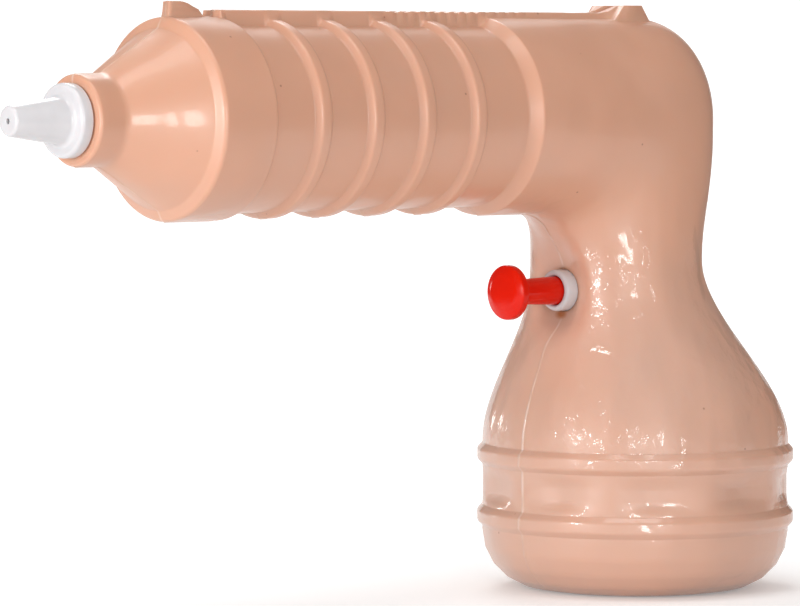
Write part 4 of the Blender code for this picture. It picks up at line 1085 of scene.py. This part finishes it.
class SQUIRTER_OT_stage(Operator):
    """Make the paper sweep, the lamps, the world and the camera"""

    bl_idname = "squirter.stage"
    bl_label = "Studio"

    def execute(self, context):
        scene = context.scene
        colours = scene.squirter_colours

        # The paper is flat under the object and curves up behind it: a profile swept sideways
        near, flat, bend_r, top, half_width = -0.7, 1.2, 0.5, 3.0, 0.45
        bend = np.linspace(0, np.pi / 2, 25)
        along = np.concatenate([[near], flat + bend_r * np.sin(bend), [flat + bend_r]])
        rise = np.concatenate([[0], bend_r - bend_r * np.cos(bend), [top]])
        across = np.linspace(-half_width, half_width, 13)[None, :]
        heading = np.array([np.sin(np.radians(-AZIMUTH)), np.cos(np.radians(-AZIMUTH))])
        side = np.array([heading[1], -heading[0]])
        grid = np.stack([
            along[:, None] * heading[0] + across * side[0],
            along[:, None] * heading[1] + across * side[1],
            rise[:, None] + 0 * across,
        ], axis=-1)
        mesh = grid_mesh(grid)
        mesh.name = "paper_sweep"
        mesh.flip_normals()
        mesh.materials.append(studio_paper(colours))
        sheet = bpy.data.objects.new("paper_sweep", mesh)
        bpy.context.collection.objects.link(sheet)

        scene.world = studio_world()
        aim = Vector(LAMP_AIM)
        for name, left, height, far, size, power in LAMPS:
            angle = np.radians(AZIMUTH - left)
            lamp = bpy.data.lights.new(name, "AREA")
            lamp.shape, lamp.size, lamp.size_y, lamp.energy = "ELLIPSE", size[0], size[1], power
            light = bpy.data.objects.new(name, lamp)
            light.location = (far * np.sin(angle), -far * np.cos(angle), height)
            light.rotation_euler = (aim - light.location).to_track_quat("-Z", "Y").to_euler()
            bpy.context.collection.objects.link(light)

        turn, tip = np.radians(AZIMUTH), np.radians(ELEVATION)
        towards = Vector((np.sin(turn) * np.cos(tip), -np.cos(turn) * np.cos(tip), np.sin(tip)))
        aim = Vector((TANK_X - AIM_LEFT * np.cos(turn), -AIM_LEFT * np.sin(turn), AIM_HEIGHT))
        camera = bpy.data.objects.new("camera", bpy.data.cameras.new("camera"))
        camera.data.sensor_width = SENSOR * 1000
        camera.data.lens = DISTANCE / PIXEL * SENSOR * 1000 / PHOTO_WIDTH
        camera.data.clip_end = 20
        camera.location = aim + DISTANCE * towards
        camera.rotation_euler = (-towards).to_track_quat("-Z", "Y").to_euler()
        bpy.context.collection.objects.link(camera)
        scene.camera = camera
        scene.view_settings.view_transform = "Standard"
        return {"FINISHED"}


class SQUIRTER_PT_panel(Panel):
    """Sizes, colours and pieces of the water squirter"""

    bl_idname = "SQUIRTER_PT_panel"
    bl_label = "Water Squirter"
    bl_space_type = "VIEW_3D"
    bl_region_type = "UI"
    bl_category = "Squirter"

    def draw(self, context):
        column = self.layout.column()
        for group in (context.scene.squirter_sizes, context.scene.squirter_colours):
            for name in group.bl_rna.properties.keys():
                if name not in {"rna_type", "name"}:
                    column.prop(group, name)
        for operator in OPERATORS:
            column.operator(operator.bl_idname)


OPERATORS = (
    SQUIRTER_OT_shells,
    SQUIRTER_OT_pump,
    SQUIRTER_OT_trigger,
    SQUIRTER_OT_nozzle,
    SQUIRTER_OT_filler,
    SQUIRTER_OT_inside,
    SQUIRTER_OT_stage,
)
CLASSES = (SquirterSizes, SquirterColours, *OPERATORS, SQUIRTER_PT_panel)


def register():
    for cls in CLASSES:
        bpy.utils.register_class(cls)
    bpy.types.Scene.squirter_sizes = PointerProperty(type=SquirterSizes)
    bpy.types.Scene.squirter_colours = PointerProperty(type=SquirterColours)


def unregister():
    del bpy.types.Scene.squirter_sizes
    del bpy.types.Scene.squirter_colours
    for cls in reversed(CLASSES):
        bpy.utils.unregister_class(cls)


def main():
    register()
    for operator in OPERATORS:
        getattr(bpy.ops.squirter, operator.bl_idname.split(".")[1])()


if __name__ == "__main__":
    main()
